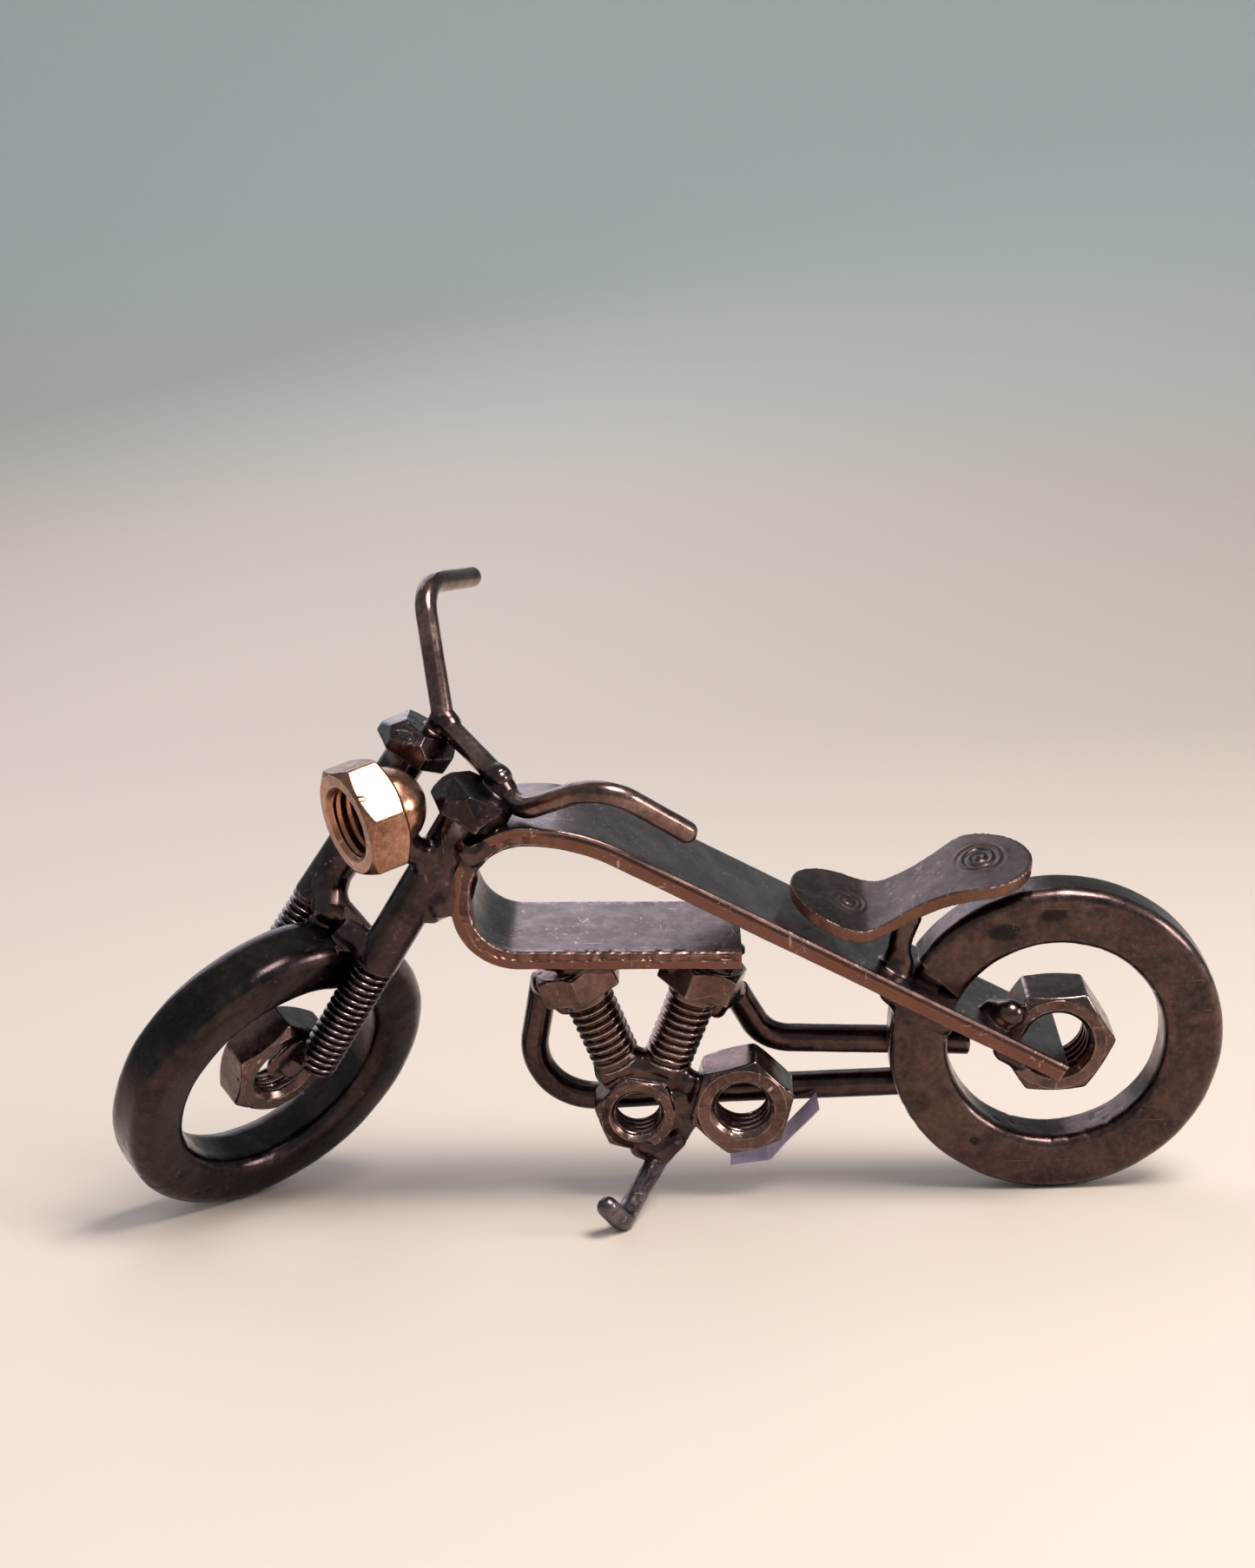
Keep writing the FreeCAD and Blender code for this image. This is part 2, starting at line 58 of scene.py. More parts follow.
REAR_RING = {"outer": 30.8, "inner": 19.9, "width": 9.3, "round": 2.1, "crown": 0.35}
FRONT_RING = {"outer": 31.5, "inner": 20.9, "width": 10.6, "round": 2.8, "crown": 0.5}
REAR_GAP_ANGLE = math.radians(44.5)

RAKE, STEER, HEAD_X = math.radians(30.2), math.radians(44.6), 142.5
FORK_HALF, FORK_LENGTH, FORK_THREAD = 9.35, 58.5, 24.5
WHEEL_DROP, WHEEL_BACK = 6.9, 0.2
FRONT_NUT = (-4.5, 1.3, 1.4)
RIGHT_LEG_LEAN = 0.08
LAMP_FACE, LAMP_WAY, LAMP_BOWL = (49.6, 18.9, 2.6), (-0.534, 0.844, -0.056), (7.4, 5.8)

CYLINDER_LENGTH = 18.0
FRONT_SEAT, FRONT_LEAN = np.array([87.0, 0, 9.7]), math.radians(22.2)
REAR_SEAT, REAR_LEAN = np.array([66.1, 0, 10.2]), math.radians(-19.7)
SMALL_NUT = np.array([77.2, 0.9, -14.7])
BIG_NUT = np.array([57.7, 1.2, -13.0])
AXLE_NUT = np.array([0.1, 0.5, 0.6])
PIPE_RADIUS, PIPE_SIDE = 2.65, -7.6
ROD_RADIUS, STAND_RADIUS = 2.0, 1.95
SEAT_PADS = (39.4, 15.8)

LEAN, PITCH = math.radians(-12.0), math.radians(-1.5595)
AXLE_AT = np.array([-71.342, -2.731, 30.815])
MM = 0.001

# How finely round shapes are divided, in rows and columns of points.
HEX_COLUMNS, SHANK_COLUMNS, RING_ROWS = 240, 88, 360
TIP_ROWS, FACE_ROWS = 7, 16

# Forged heads and nuts: the chamfer starts at this share of the width across flats.
CHAMFER_START, CHAMFER = 0.47, math.radians(30)
HEXAGON_SHARPNESS = 60
MOUTH = 1.2                 # a nut's countersink, as a share of its bore's radius
SHARP_EDGE = math.radians(38)

# Weld metal: the grid's step, how round its fillets are, and how far its skin spreads.
WELD_STEP, WELD_FILLET, WELD_REACH = 0.3, 1.7, 2.1


def turn(axis, angle):
    """A turn about X, Y or Z, written 0, 1 or 2."""
    j, k = (axis + 1) % 3, (axis + 2) % 3
    made = np.eye(3)
    made[j, j] = made[k, k] = math.cos(angle)
    made[k, j] = math.sin(angle)
    made[j, k] = -made[k, j]
    return made


STANCE = turn(1, PITCH) @ turn(0, LEAN)


def to_row(points):
    """From the upright bike in millimetres to the frame in metres."""
    return (np.asarray(points) @ STANCE.T + AXLE_AT) * MM


def to_bike(points):
    """From the frame in metres to the upright bike in millimetres."""
    return (np.asarray(points) / MM - AXLE_AT) @ STANCE


def unit(v):
    v = np.asarray(v, float)
    return v / np.linalg.norm(v)


def aim_matrix(direction, spin=0.0):
    """The shortest turn from +Z to direction, after a spin about +Z, in degrees."""
    d = unit(direction)
    v = np.array([-d[1], d[0], 0.0])
    cross = np.array([[0, -v[2], v[1]], [v[2], 0, -v[0]], [-v[1], v[0], 0]])
    tilt = np.eye(3) + cross + cross @ cross / (1 + d[2])
    return tilt @ turn(2, math.radians(spin))


FORK_UP = np.array([-math.sin(RAKE), 0, math.cos(RAKE)])
SQUARE = np.array([math.cos(RAKE), 0, math.sin(RAKE)])
SIDE = np.array([0.0, 1.0, 0.0])
FORK_AHEAD = SQUARE * math.cos(STEER) + SIDE * math.sin(STEER)
FORK_LEFT = SIDE * math.cos(STEER) - SQUARE * math.sin(STEER)


def fork_point(up, ahead, left):
    """A point given in the turned fork's directions."""
    return np.array([HEAD_X, 0, 0]) + FORK_UP * up + FORK_AHEAD * ahead + FORK_LEFT * left


# ---- noise ----

def lattice(cell, seed):
    """A repeatable number from -1 to 1 for each whole-number cell."""
    h = cell[..., 0] * 374761393 + cell[..., 1] * 668265263 + cell[..., 2] * 1274126177 + seed * 974634777
    h = (h ^ (h >> 13)) * 1103515245 & 0xFFFFFFFF
    h = (h ^ (h >> 16)) * 2246822519 & 0xFFFFFFFF
    return ((h ^ (h >> 15)) & 0xFFFF) / 32767.5 - 1


def noise(points, size, seed=0):
    """Smooth noise from -1 to 1 with features of about that size; size may be one per axis."""
    p = np.asarray(points, float) / size
    cell = np.floor(p).astype(np.int64)
    t = p - cell
    t = t * t * (3 - 2 * t)
    total = np.zeros(p.shape[:-1])
    for corner in np.ndindex(2, 2, 2):
        weight = np.ones(p.shape[:-1])
        for axis, far in enumerate(corner):
            weight = weight * (t[..., axis] if far else 1 - t[..., axis])
        total += weight * lattice(cell + np.array(corner), seed)
    return total


def rough(points, size, octaves, seed=0):
    """Noise over several octaves."""
    size = np.asarray(size, float)
    return sum(noise(points, size / 2 ** k, seed + k) * 0.5 ** k for k in range(octaves))


def smooth_step(low, high, x):
    t = np.clip((x - low) / (high - low), 0, 1)
    return t * t * (3 - 2 * t)


def smooth_min(a, b, width):
    """The lesser of two, with the corner between them rounded."""
    h = np.clip(0.5 + 0.5 * (b - a) / width, 0, 1)
    return b + (a - b) * h - width * h * (1 - h)


# ---- meshes ----

def grid_faces(rows, columns, ring_rows=False, caps=False):
    """Quads of a grid whose columns go round; its rows may close on themselves or be capped."""
    last = rows if ring_rows else rows - 1
    r, c = np.meshgrid(np.arange(last), np.arange(columns), indexing="ij")
    r2, c2 = (r + 1) % rows, (c + 1) % columns
    quads = np.stack([r * columns + c, r * columns + c2, r2 * columns + c2, r2 * columns + c], -1)
    faces = quads.reshape(-1, 4).tolist()
    if caps:
        faces.append(np.arange(columns)[::-1].tolist())
        faces.append((np.arange(columns) + (rows - 1) * columns).tolist())
    return faces


class Shell:
    """Points with faces; several shells can be joined into one piece.

    Each point has a share of cut metal (its copper tone on the bar's and seat's edges partly a painted warm
    reflection), of darkening (real stain on the rear ring and seat pads, painted shade on the bar's torn
    edges) and of painted highlight, which the steel materials read.
    """

    def __init__(self, points, faces, cut=0.0, stain=0.0, shine=0.0):
        self.points = np.asarray(points, float).reshape(-1, 3)
        self.faces = faces
        self.tint = np.zeros((len(self.points), 3))
        for k, share in enumerate((cut, stain, shine)):
            self.tint[:, k] = np.ravel(share)

    def __add__(self, other):
        count = len(self.points)
        moved = [[i + count for i in face] for face in other.faces]
        tint = np.vstack([self.tint, other.tint])
        return Shell(np.vstack([self.points, other.points]), self.faces + moved, *tint.T)

    def placed(self, base, matrix):
        self.points = self.points @ matrix.T + np.asarray(base, float)
        return self


def wrap(grid, ring_rows=False, caps=False, **tints):
    """A shell from an array of rows x columns x 3 points."""
    rows, columns = grid.shape[:2]
    return Shell(grid, grid_faces(rows, columns, ring_rows, caps), **tints)


def piece(name, shell, material, nodes, bumps=None, in_row=False, rim=False):
    """A named object in place of CAD nodes.

    bumps(points, normals) gives a height in millimetres, and rim marks upright faces as cut metal, a colour
    set by the faces' direction that is partly a painted warm reflection.
    """
    points = shell.points if in_row else to_row(shell.points)
    mesh = bpy.data.meshes.new(name)
    mesh.from_pydata(points.tolist(), [], shell.faces)
    mesh.update()
    if sum(f.area * f.normal.dot(f.center - mesh.vertices[0].co) for f in mesh.polygons) < 0:
        mesh.flip_normals()
    normals = np.array([v.normal for v in mesh.vertices])
    if rim:
        # upright faces take the copper cut colour: cut metal, partly a painted warm reflection
        shell.tint[:, 0] = smooth_step(0.62, 0.42, np.abs((normals @ STANCE)[:, 2]))
    if bumps is not None:
        height = bumps(to_bike(points), normals @ STANCE)
        points = points + normals * (height * MM)[:, None]
        mesh.vertices.foreach_set("co", points.ravel())
    mesh.update()
    mesh.shade_smooth()
    mesh.set_sharp_from_angle(angle=SHARP_EDGE)
    tint = mesh.attributes.new("tint", "FLOAT_COLOR", "POINT")
    rgba = np.column_stack([np.clip(shell.tint, 0, 1), np.ones(len(points))])
    tint.data.foreach_set("color", rgba.astype(np.float32).ravel())
    made = bpy.data.objects.new(name, mesh)
    bpy.context.scene.collection.objects.link(made)
    mesh.materials.append(MATERIALS[material])
    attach(made, "root")
    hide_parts(*nodes)


# ---- hardware ----

def around(columns):
    """Evenly spaced angles, as one row."""
    return np.linspace(0, 2 * math.pi, columns, endpoint=False)[None, :]


def hexagon_radius(angles, flats):
    """Distance to a hexagon's outline in each direction, its corners a little rounded."""
    near = sum(np.clip(np.cos(angles - math.radians(30 + 60 * k)), 0, 1) ** HEXAGON_SHARPNESS
               for k in range(6))
    return flats / 2 * near ** (-1 / HEXAGON_SHARPNESS)


def thread_height(z, angles, pitch):
    """0 in the thread's groove and 1 on its crest, along a right-hand helix."""
    phase = (z / pitch - angles / (2 * math.pi)) % 1
    return smooth_step(0.12, 0.9, 1 - np.abs(2 * phase - 1))


def turned_grid(radius, z, angles):
    """Points at radius[row, column] and height z[row, column]."""
    a = np.broadcast_to(angles, radius.shape)
    z = np.broadcast_to(z, radius.shape)
    return np.stack([radius * np.cos(a), radius * np.sin(a), z], -1)


def head_shell(flats, height, gouges=()):
    """A bolt head from z = 0 up, chamfered on top; gouges are flats knocked across it."""
    angles = around(HEX_COLUMNS)
    outline = hexagon_radius(angles, flats)
    z_side = np.concatenate([[0, 0.06, 0.2], np.linspace(0.5, height - 1.6, 10),
                             np.linspace(height - 1.4, height - 0.1, 12)])[:, None]
    cone = CHAMFER_START * flats + (height - z_side) / math.tan(CHAMFER)
    side = smooth_min(outline + 0 * z_side, cone, 0.5) - 0.18 * smooth_step(0.25, 0, z_side)
    under = np.linspace(0.1, 0.985, 8)[:, None]
    top = np.linspace(0.995, 0.03, 26)[:, None]
    radius = np.vstack([side[0] * under, side, side[-1] * top])
    z = np.concatenate([0 * under[:, 0], z_side[:, 0], np.full(len(top), height)])[:, None]
    points = turned_grid(radius, z, angles).reshape(-1, 3)
    for direction, depth in gouges:
        way = unit(direction)
        over = np.clip(points @ way - depth, 0, None)
        points = points - np.outer(over * 0.96, way)
    return Shell(points, grid_faces(len(radius), HEX_COLUMNS, caps=True))


def shank_shell(size, length, thread):
    """A bolt's shank below z = 0, threaded at its lower end."""
    radius, pitch = size["major"] / 2, size["pitch"]
    depth = 0.58 * pitch
    angles = around(SHANK_COLUMNS)
    z = np.concatenate([np.arange(-length, -length + thread + pitch, pitch / 14),
                        np.linspace(-length + thread + 1.1 * pitch, 0.4, 10)])[:, None]
    full = 1 - smooth_step(-length + thread - pitch, -length + thread + 0.6 * pitch, z)
    crest = thread_height(z, angles, pitch)
    body = radius - 0.15 * full - depth * full * (1 - crest)
    body = smooth_min(body, radius - 1.15 * depth + (z + length) * 0.9, 0.2)
    tip = np.linspace(0.08, 0.97, TIP_ROWS)[:, None] * body[0]
    heights = np.vstack([np.full((TIP_ROWS, 1), -length), z])
    bright = np.vstack([0 * tip, full * crest ** 3])
    return wrap(turned_grid(np.vstack([tip, body]), heights, angles), caps=True, cut=bright * 0.6)


def nut_shell(size):
    """A nut about the origin, its bore along Z, threaded and countersunk."""
    half, bore, flats, pitch = size["height"] / 2, size["bore"], size["flats"], size["pitch"]
    angles = around(HEX_COLUMNS)
    edge = bore * MOUTH + 0.12
    z_side = np.concatenate([np.linspace(-half + 0.05, -half + 1.6, 12), np.linspace(-half + 2, half - 2, 8),
                             np.linspace(half - 1.6, half - 0.05, 12)])[:, None]
    cone = CHAMFER_START * flats + (half - np.abs(z_side)) / math.tan(CHAMFER)
    side = smooth_min(hexagon_radius(angles, flats) + 0 * z_side, cone, 0.45)
    share = np.linspace(0.01, 1, FACE_ROWS)[:, None]
    upper = side[-1] * (1 - share) + edge * share
    lower = side[0] * (1 - share[::-1]) + edge * share[::-1]
    z_bore = np.linspace(half - 0.1, -half + 0.1, int(size["height"] / pitch * 12))[:, None]
    thread = bore + 0.22 * pitch * thread_height(z_bore, angles, pitch)
    countersink = bore * MOUTH - (half - np.abs(z_bore))
    wall = -smooth_min(-thread, -countersink, 0.2)
    flat = np.full((FACE_ROWS, 1), half)
    heights = np.vstack([z_side, flat, z_bore, -flat])
    inside = np.vstack([0 * side, 0 * upper, np.full(wall.shape, 0.35), 0 * lower])
    grid = turned_grid(np.vstack([side, upper, wall, lower]), heights, angles)
    return wrap(grid, ring_rows=True, cut=inside)


def corner_section(half_wide, half_thick, radius, steps, along_wide, along_thick):
    """A rounded rectangle's outline as (wide, thick) points, in order round it."""
    arcs = []
    for wide, thick, start in ((1, 1, 0), (-1, 1, 90), (-1, -1, 180), (1, -1, 270)):
        centre = np.array([wide * (half_wide - radius), thick * (half_thick - radius)])
        angles = np.radians(np.linspace(start, start + 90, steps))
        arcs.append(centre + radius * np.stack([np.cos(angles), np.sin(angles)], 1))
    outline = []
    for arc, after, between in zip(arcs, arcs[1:] + arcs[:1], (along_wide, along_thick) * 2):
        outline += [arc, np.linspace(arc[-1], after[0], between + 2)[1:-1]]
    return np.vstack(outline)


def ring_shell(size, gap=None):
    """A wheel ring about Z; gap(radius) gives the angles at which an open ring starts and ends."""
    middle, half = (size["outer"] + size["inner"]) / 2, (size["outer"] - size["inner"]) / 2
    section = corner_section(half, size["width"] / 2, size["round"], 7, 12, 10)
    crown = size["crown"] * (1 - (section[:, 0] / half) ** 2)
    section[:, 1] += np.sign(section[:, 1]) * crown
    radius = middle + section[:, 0]
    share = np.linspace(0, 1, RING_ROWS, endpoint=gap is not None)[:, None]
    if gap is None:
        angles = share * 2 * math.pi + 0 * radius
    else:
        first, last = gap(radius)
        angles = first + (last - first) * share
    grid = np.stack([radius * np.cos(angles), radius * np.sin(angles), section[:, 1] + 0 * angles], -1)
    return wrap(grid, ring_rows=gap is None, caps=gap is not None)


# ---- paths ----

def rounded_path(points, bends, step):
    """Evenly spaced points along straight runs joined by tangent arcs."""
    points = [np.asarray(p, float) for p in points]
    made, start = [], points[0]
    for before, corner, after, radius in zip(points, points[1:], points[2:], bends):
        back, ahead = unit(before - corner), unit(after - corner)
        half = math.acos(np.clip(back @ ahead, -1, 1)) / 2
        enter, leave = corner + back * radius / math.tan(half), corner + ahead * radius / math.tan(half)
        centre = corner + unit(back + ahead) * radius / math.sin(half)
        sweep = math.pi - 2 * half
        count = max(2, int(np.linalg.norm(enter - start) / step))
        made += [start + (enter - start) * k / count for k in range(count)]
        u, v = (enter - centre) / radius, -back
        turns = max(6, int(sweep * radius / step))
        angles = [sweep * k / turns for k in range(turns)]
        made += [centre + radius * (u * math.cos(a) + v * math.sin(a)) for a in angles]
        start = leave
    count = max(2, int(np.linalg.norm(points[-1] - start) / step))
    made += [start + (points[-1] - start) * k / count for k in range(count + 1)]
    return np.array(made)


def path_frames(path, side):
    """Two directions square to the path at each point, carried along it without twist."""
    tangent = np.gradient(path, axis=0)
    tangent /= np.linalg.norm(tangent, axis=1)[:, None]
    first = [unit(side - tangent[0] * (side @ tangent[0]))]
    for t in tangent[1:]:
        first.append(unit(first[-1] - t * (first[-1] @ t)))
    first = np.array(first)
    return tangent, first, np.cross(tangent, first)


def sweep_grid(path, section):
    """A section of (wide, thick) points swept along a path, its wide side across the bike."""
    _, first, second = path_frames(path, SIDE)
    return path[:, None] + section[None, :, :1] * first[:, None] + section[None, :, 1:] * second[:, None]


def rod_shell(points, bends, radius, tips=(True, True)):
    """Round rod along a bent path, each end domed or cut flat."""
    path = rounded_path(points, bends, 0.45)
    tangent, first, second = path_frames(path, unit([0.31, 0.87, 0.38]))
    angles = np.linspace(0, 2 * math.pi, 48, endpoint=False)
    circle = first[:, None] * np.cos(angles)[:, None] + second[:, None] * np.sin(angles)[:, None]
    body = path[:, None] + radius * circle
    rows = []
    for end, row, way, domed in ((0, body[0], -1, tips[0]), (-1, body[-1], 1, tips[1])):
        steps = np.radians(np.linspace(86, 8, 10)) if domed else np.radians([80, 55, 30, 10])
        reach = radius if domed else 0.25
        inset = 0 if domed else reach
        cap = [path[end] + tangent[end] * way * (reach * math.sin(a) - inset)
               + (row - path[end]) * (math.cos(a) if domed else 1 - 0.12 * math.sin(a)) for a in steps]
        rows.append(cap if end == 0 else cap[::-1])
    keep = slice(0 if tips[0] else 1, None if tips[1] else -1)
    return wrap(np.array(rows[0] + list(body[keep]) + rows[1]), caps=True)


def on_slope(x, above=0.0):
    """A point on the sloping bar at x, a given distance square off its middle surface."""
    z = BAR_TAIL[2] + (x - BAR_TAIL[0]) * math.tan(SLOPE)
    return np.array([x - above * math.sin(SLOPE), 0, z + above * math.cos(SLOPE)])


# ---- weld metal ----

def bead_field(p, stations):
    """Distance to a bead that runs through balls of (point, radius)."""
    best = np.linalg.norm(p - stations[0][0], axis=-1) - stations[0][1]
    for (a, ra), (b, rb) in zip(stations, stations[1:]):
        along = b - a
        t = np.clip((p - a) @ along / (along @ along), 0, 1)
        near = np.linalg.norm(p - a - t[..., None] * along, axis=-1) - (ra + (rb - ra) * t)
        best = smooth_min(best, near, 0.8)
    return best


def prism_field(p, base, direction, flats, low, high, spin=0.0):
    """Distance, about, to a hexagon prism between two heights along its axis."""
    local = (p - base) @ aim_matrix(direction, spin)
    angles = np.arctan2(local[..., 1], local[..., 0])
    across = np.linalg.norm(local[..., :2], axis=-1)
    side = (across / hexagon_radius(angles, flats) - 1) * flats / 2
    return np.maximum(side, np.maximum(low - local[..., 2], local[..., 2] - high))


def rod_field(p, a, b, radius):
    """Distance to a flat-ended round rod."""
    way = unit(b - a)
    along = (p - a) @ way
    across = np.linalg.norm(p - a - along[..., None] * way, axis=-1) - radius
    return np.maximum(across, np.maximum(-along, along - np.linalg.norm(b - a)))


def bar_field(p):
    """Distance to the bent flat bar."""
    path = BAR_PATH[::8, ::2]
    flat = p[..., ::2].reshape(-1, 2)
    near = np.full(len(flat), 1e9)
    for a, b in zip(path, path[1:]):
        t = np.clip((flat - a) @ (b - a) / ((b - a) @ (b - a)), 0, 1)
        near = np.minimum(near, np.linalg.norm(flat - a - t[:, None] * (b - a), axis=1))
    near = near.reshape(p.shape[:-1]) - BAR_THICK / 2
    return np.maximum(near, np.abs(p[..., 1]) - BAR_WIDTH / 2)


def ring_field(p, centre, axle, size):
    """Distance to a ring."""
    local = (p - centre) @ aim_matrix(axle)
    across = np.linalg.norm(local[..., :2], axis=-1)
    middle, half = (size["outer"] + size["inner"]) / 2, (size["outer"] - size["inner"]) / 2
    return np.maximum(np.abs(across - middle) - half, np.abs(local[..., 2]) - size["width"] / 2)


def part_of(axis, part, others=slice(None)):
    """An index that takes part of one axis, and the same of each other axis."""
    return tuple(part if k == axis else others for k in range(3))


def net(field, low, step):
    """The surface where a field on a grid crosses zero, one point per crossed cell."""
    all_but_last, all_but_first, inner = slice(None, -1), slice(1, None), slice(1, -1)
    cells = tuple(n - 1 for n in field.shape)
    total, count = np.zeros(cells + (3,)), np.zeros(cells)
    where = np.stack(np.meshgrid(*[np.arange(n) for n in field.shape], indexing="ij"), -1).astype(float)
    for axis in range(3):
        others = [k for k in range(3) if k != axis]
        a, b = field[part_of(axis, all_but_last)], field[part_of(axis, all_but_first)]
        crossed = (a < 0) != (b < 0)
        spot = where[part_of(axis, all_but_last)].copy()
        spot[..., axis] += np.where(crossed, a / np.where(crossed, a - b, 1), 0)
        for shift in np.ndindex(2, 2):
            take = [slice(None)] * 3
            for other, s in zip(others, shift):
                take[other] = slice(s, s + cells[other])
            total += np.where(crossed[tuple(take)][..., None], spot[tuple(take)], 0)
            count += crossed[tuple(take)]
    used = count > 0
    index = np.full(cells, -1)
    index[used] = np.arange(used.sum())
    points = total[used] / count[used][:, None] * step + low
    faces = []
    for axis in range(3):
        u, v = (axis + 1) % 3, (axis + 2) % 3
        a = field[part_of(axis, all_but_last, inner)] < 0
        b = field[part_of(axis, all_but_first, inner)] < 0
        start = np.argwhere(a != b) + np.array(part_of(axis, 0, 1))
        corners = []
        for du, dv in ((-1, -1), (0, -1), (0, 0), (-1, 0)):
            cell = start.copy()
            cell[:, u] += du
            cell[:, v] += dv
            corners.append(index[tuple(cell.T)])
        quads = np.stack(corners, 1)
        flip = b[a != b]
        quads[flip] = quads[flip][:, ::-1]
        faces += quads.tolist()
    return Shell(points, faces)


def weld_shell(stations, neighbours, bores, seed):
    """Weld metal: a bead that flows out onto its neighbours in fillets and leaves bores open."""
    spots = np.array([p for p, _ in stations])
    margin = max(r for _, r in stations) + WELD_REACH + 1.2
    low, high = spots.min(0) - margin, spots.max(0) + margin
    axes = [np.arange(low[k], high[k], WELD_STEP) for k in range(3)]
    p = np.stack(np.meshgrid(*axes, indexing="ij"), -1)
    bead = bead_field(p, stations) + 0.22 * noise(p, 3.6, seed) + 0.03 * noise(p, 1.2, seed + 7)
    skin = np.minimum.reduce([neighbour(p) for neighbour in neighbours])
    skin = np.maximum(skin + 0.2, bead - WELD_REACH)
    field = smooth_min(bead, skin + 0.12, WELD_FILLET)
    for centre, radius in bores:
        across = np.hypot(p[..., 0] - centre[0], p[..., 2] - centre[2])
        field = -smooth_min(-field, across - radius, 0.4)
    return net(field, low, WELD_STEP)


# ---- materials ----

class Nodes:
    """A short way to add and link shader nodes."""

    def __init__(self, name):
        self.material = bpy.data.materials.new(name)
        self.material.use_nodes = True
        self.tree = self.material.node_tree
        self.shader = self.tree.nodes["Principled BSDF"]
        self.coords = self.add("ShaderNodeTexCoord").outputs["Object"]

    def add(self, kind, inputs=(), **settings):
        """A node with its settings, each input fed with a number, a colour or another node's output."""
        node = self.tree.nodes.new(kind)
        for key, value in settings.items():
            setattr(node, key, value)
        for socket, value in dict(inputs).items():
            self.feed(node, socket, value)
        return node

    def feed(self, node, socket, value):
        if isinstance(value, (int, float, tuple)):
            node.inputs[socket].default_value = value
        else:
            self.tree.links.new(value, node.inputs[socket])

    def shade(self, **values):
        """Feeds the shader, such as its Base_Color."""
        for socket, value in values.items():
            self.feed(self.shader, socket.replace("_", " "), value)

    def noise(self, per_mm, detail=4.0, roughness=0.55, stretch=None, turn=(0, 0, 0), distortion=0.0):
        """Noise with per_mm features in a millimetre; stretch scales each axis."""
        vector = self.coords
        if stretch is not None:
            mapping = self.add("ShaderNodeMapping", {"Vector": vector, "Scale": stretch, "Rotation": turn})
            vector = mapping.outputs["Vector"]
        inputs = {"Vector": vector, "Scale": per_mm * 1000, "Detail": detail, "Roughness": roughness,
                  "Distortion": distortion}
        return self.add("ShaderNodeTexNoise", inputs).outputs["Fac"]

    def between(self, value, low, high, out_low=0.0, out_high=1.0):
        """A number mapped from one range to another, smoothly, and held at its ends."""
        inputs = {"Value": value, "From Min": low, "From Max": high, "To Min": out_low, "To Max": out_high}
        return self.add("ShaderNodeMapRange", inputs, interpolation_type="SMOOTHSTEP").outputs["Result"]

    def math(self, operation, a, b):
        return self.add("ShaderNodeMath", {0: a, 1: b}, operation=operation).outputs[0]

    def product(self, a, b):
        return self.math("MULTIPLY", a, b)

    def mix(self, share, a, b):
        """Colour a where share is 0, b where it is 1."""
        a, b = (colour + (1.0,) if isinstance(colour, tuple) else colour for colour in (a, b))
        return self.add("ShaderNodeMix", {"Factor": share, 6: a, 7: b}, data_type="RGBA").outputs[2]

    def bump(self, height, strength, distance):
        """Bumps of about distance millimetres."""
        inputs = {"Height": height, "Strength": strength, "Distance": distance * MM}
        self.shade(Normal=self.add("ShaderNodeBump", inputs).outputs["Normal"])


RUST = (0.17, 0.06, 0.025)
SCRATCH_RUNS = (((0.04, 1.0, 0.9), (0.5, 0.7, 0.3)), ((0.9, 0.9, 0.04), (0.2, 0.9, 0.6)),
                ((0.7, 0.05, 1.1), (0.9, 0.2, 0.8)))


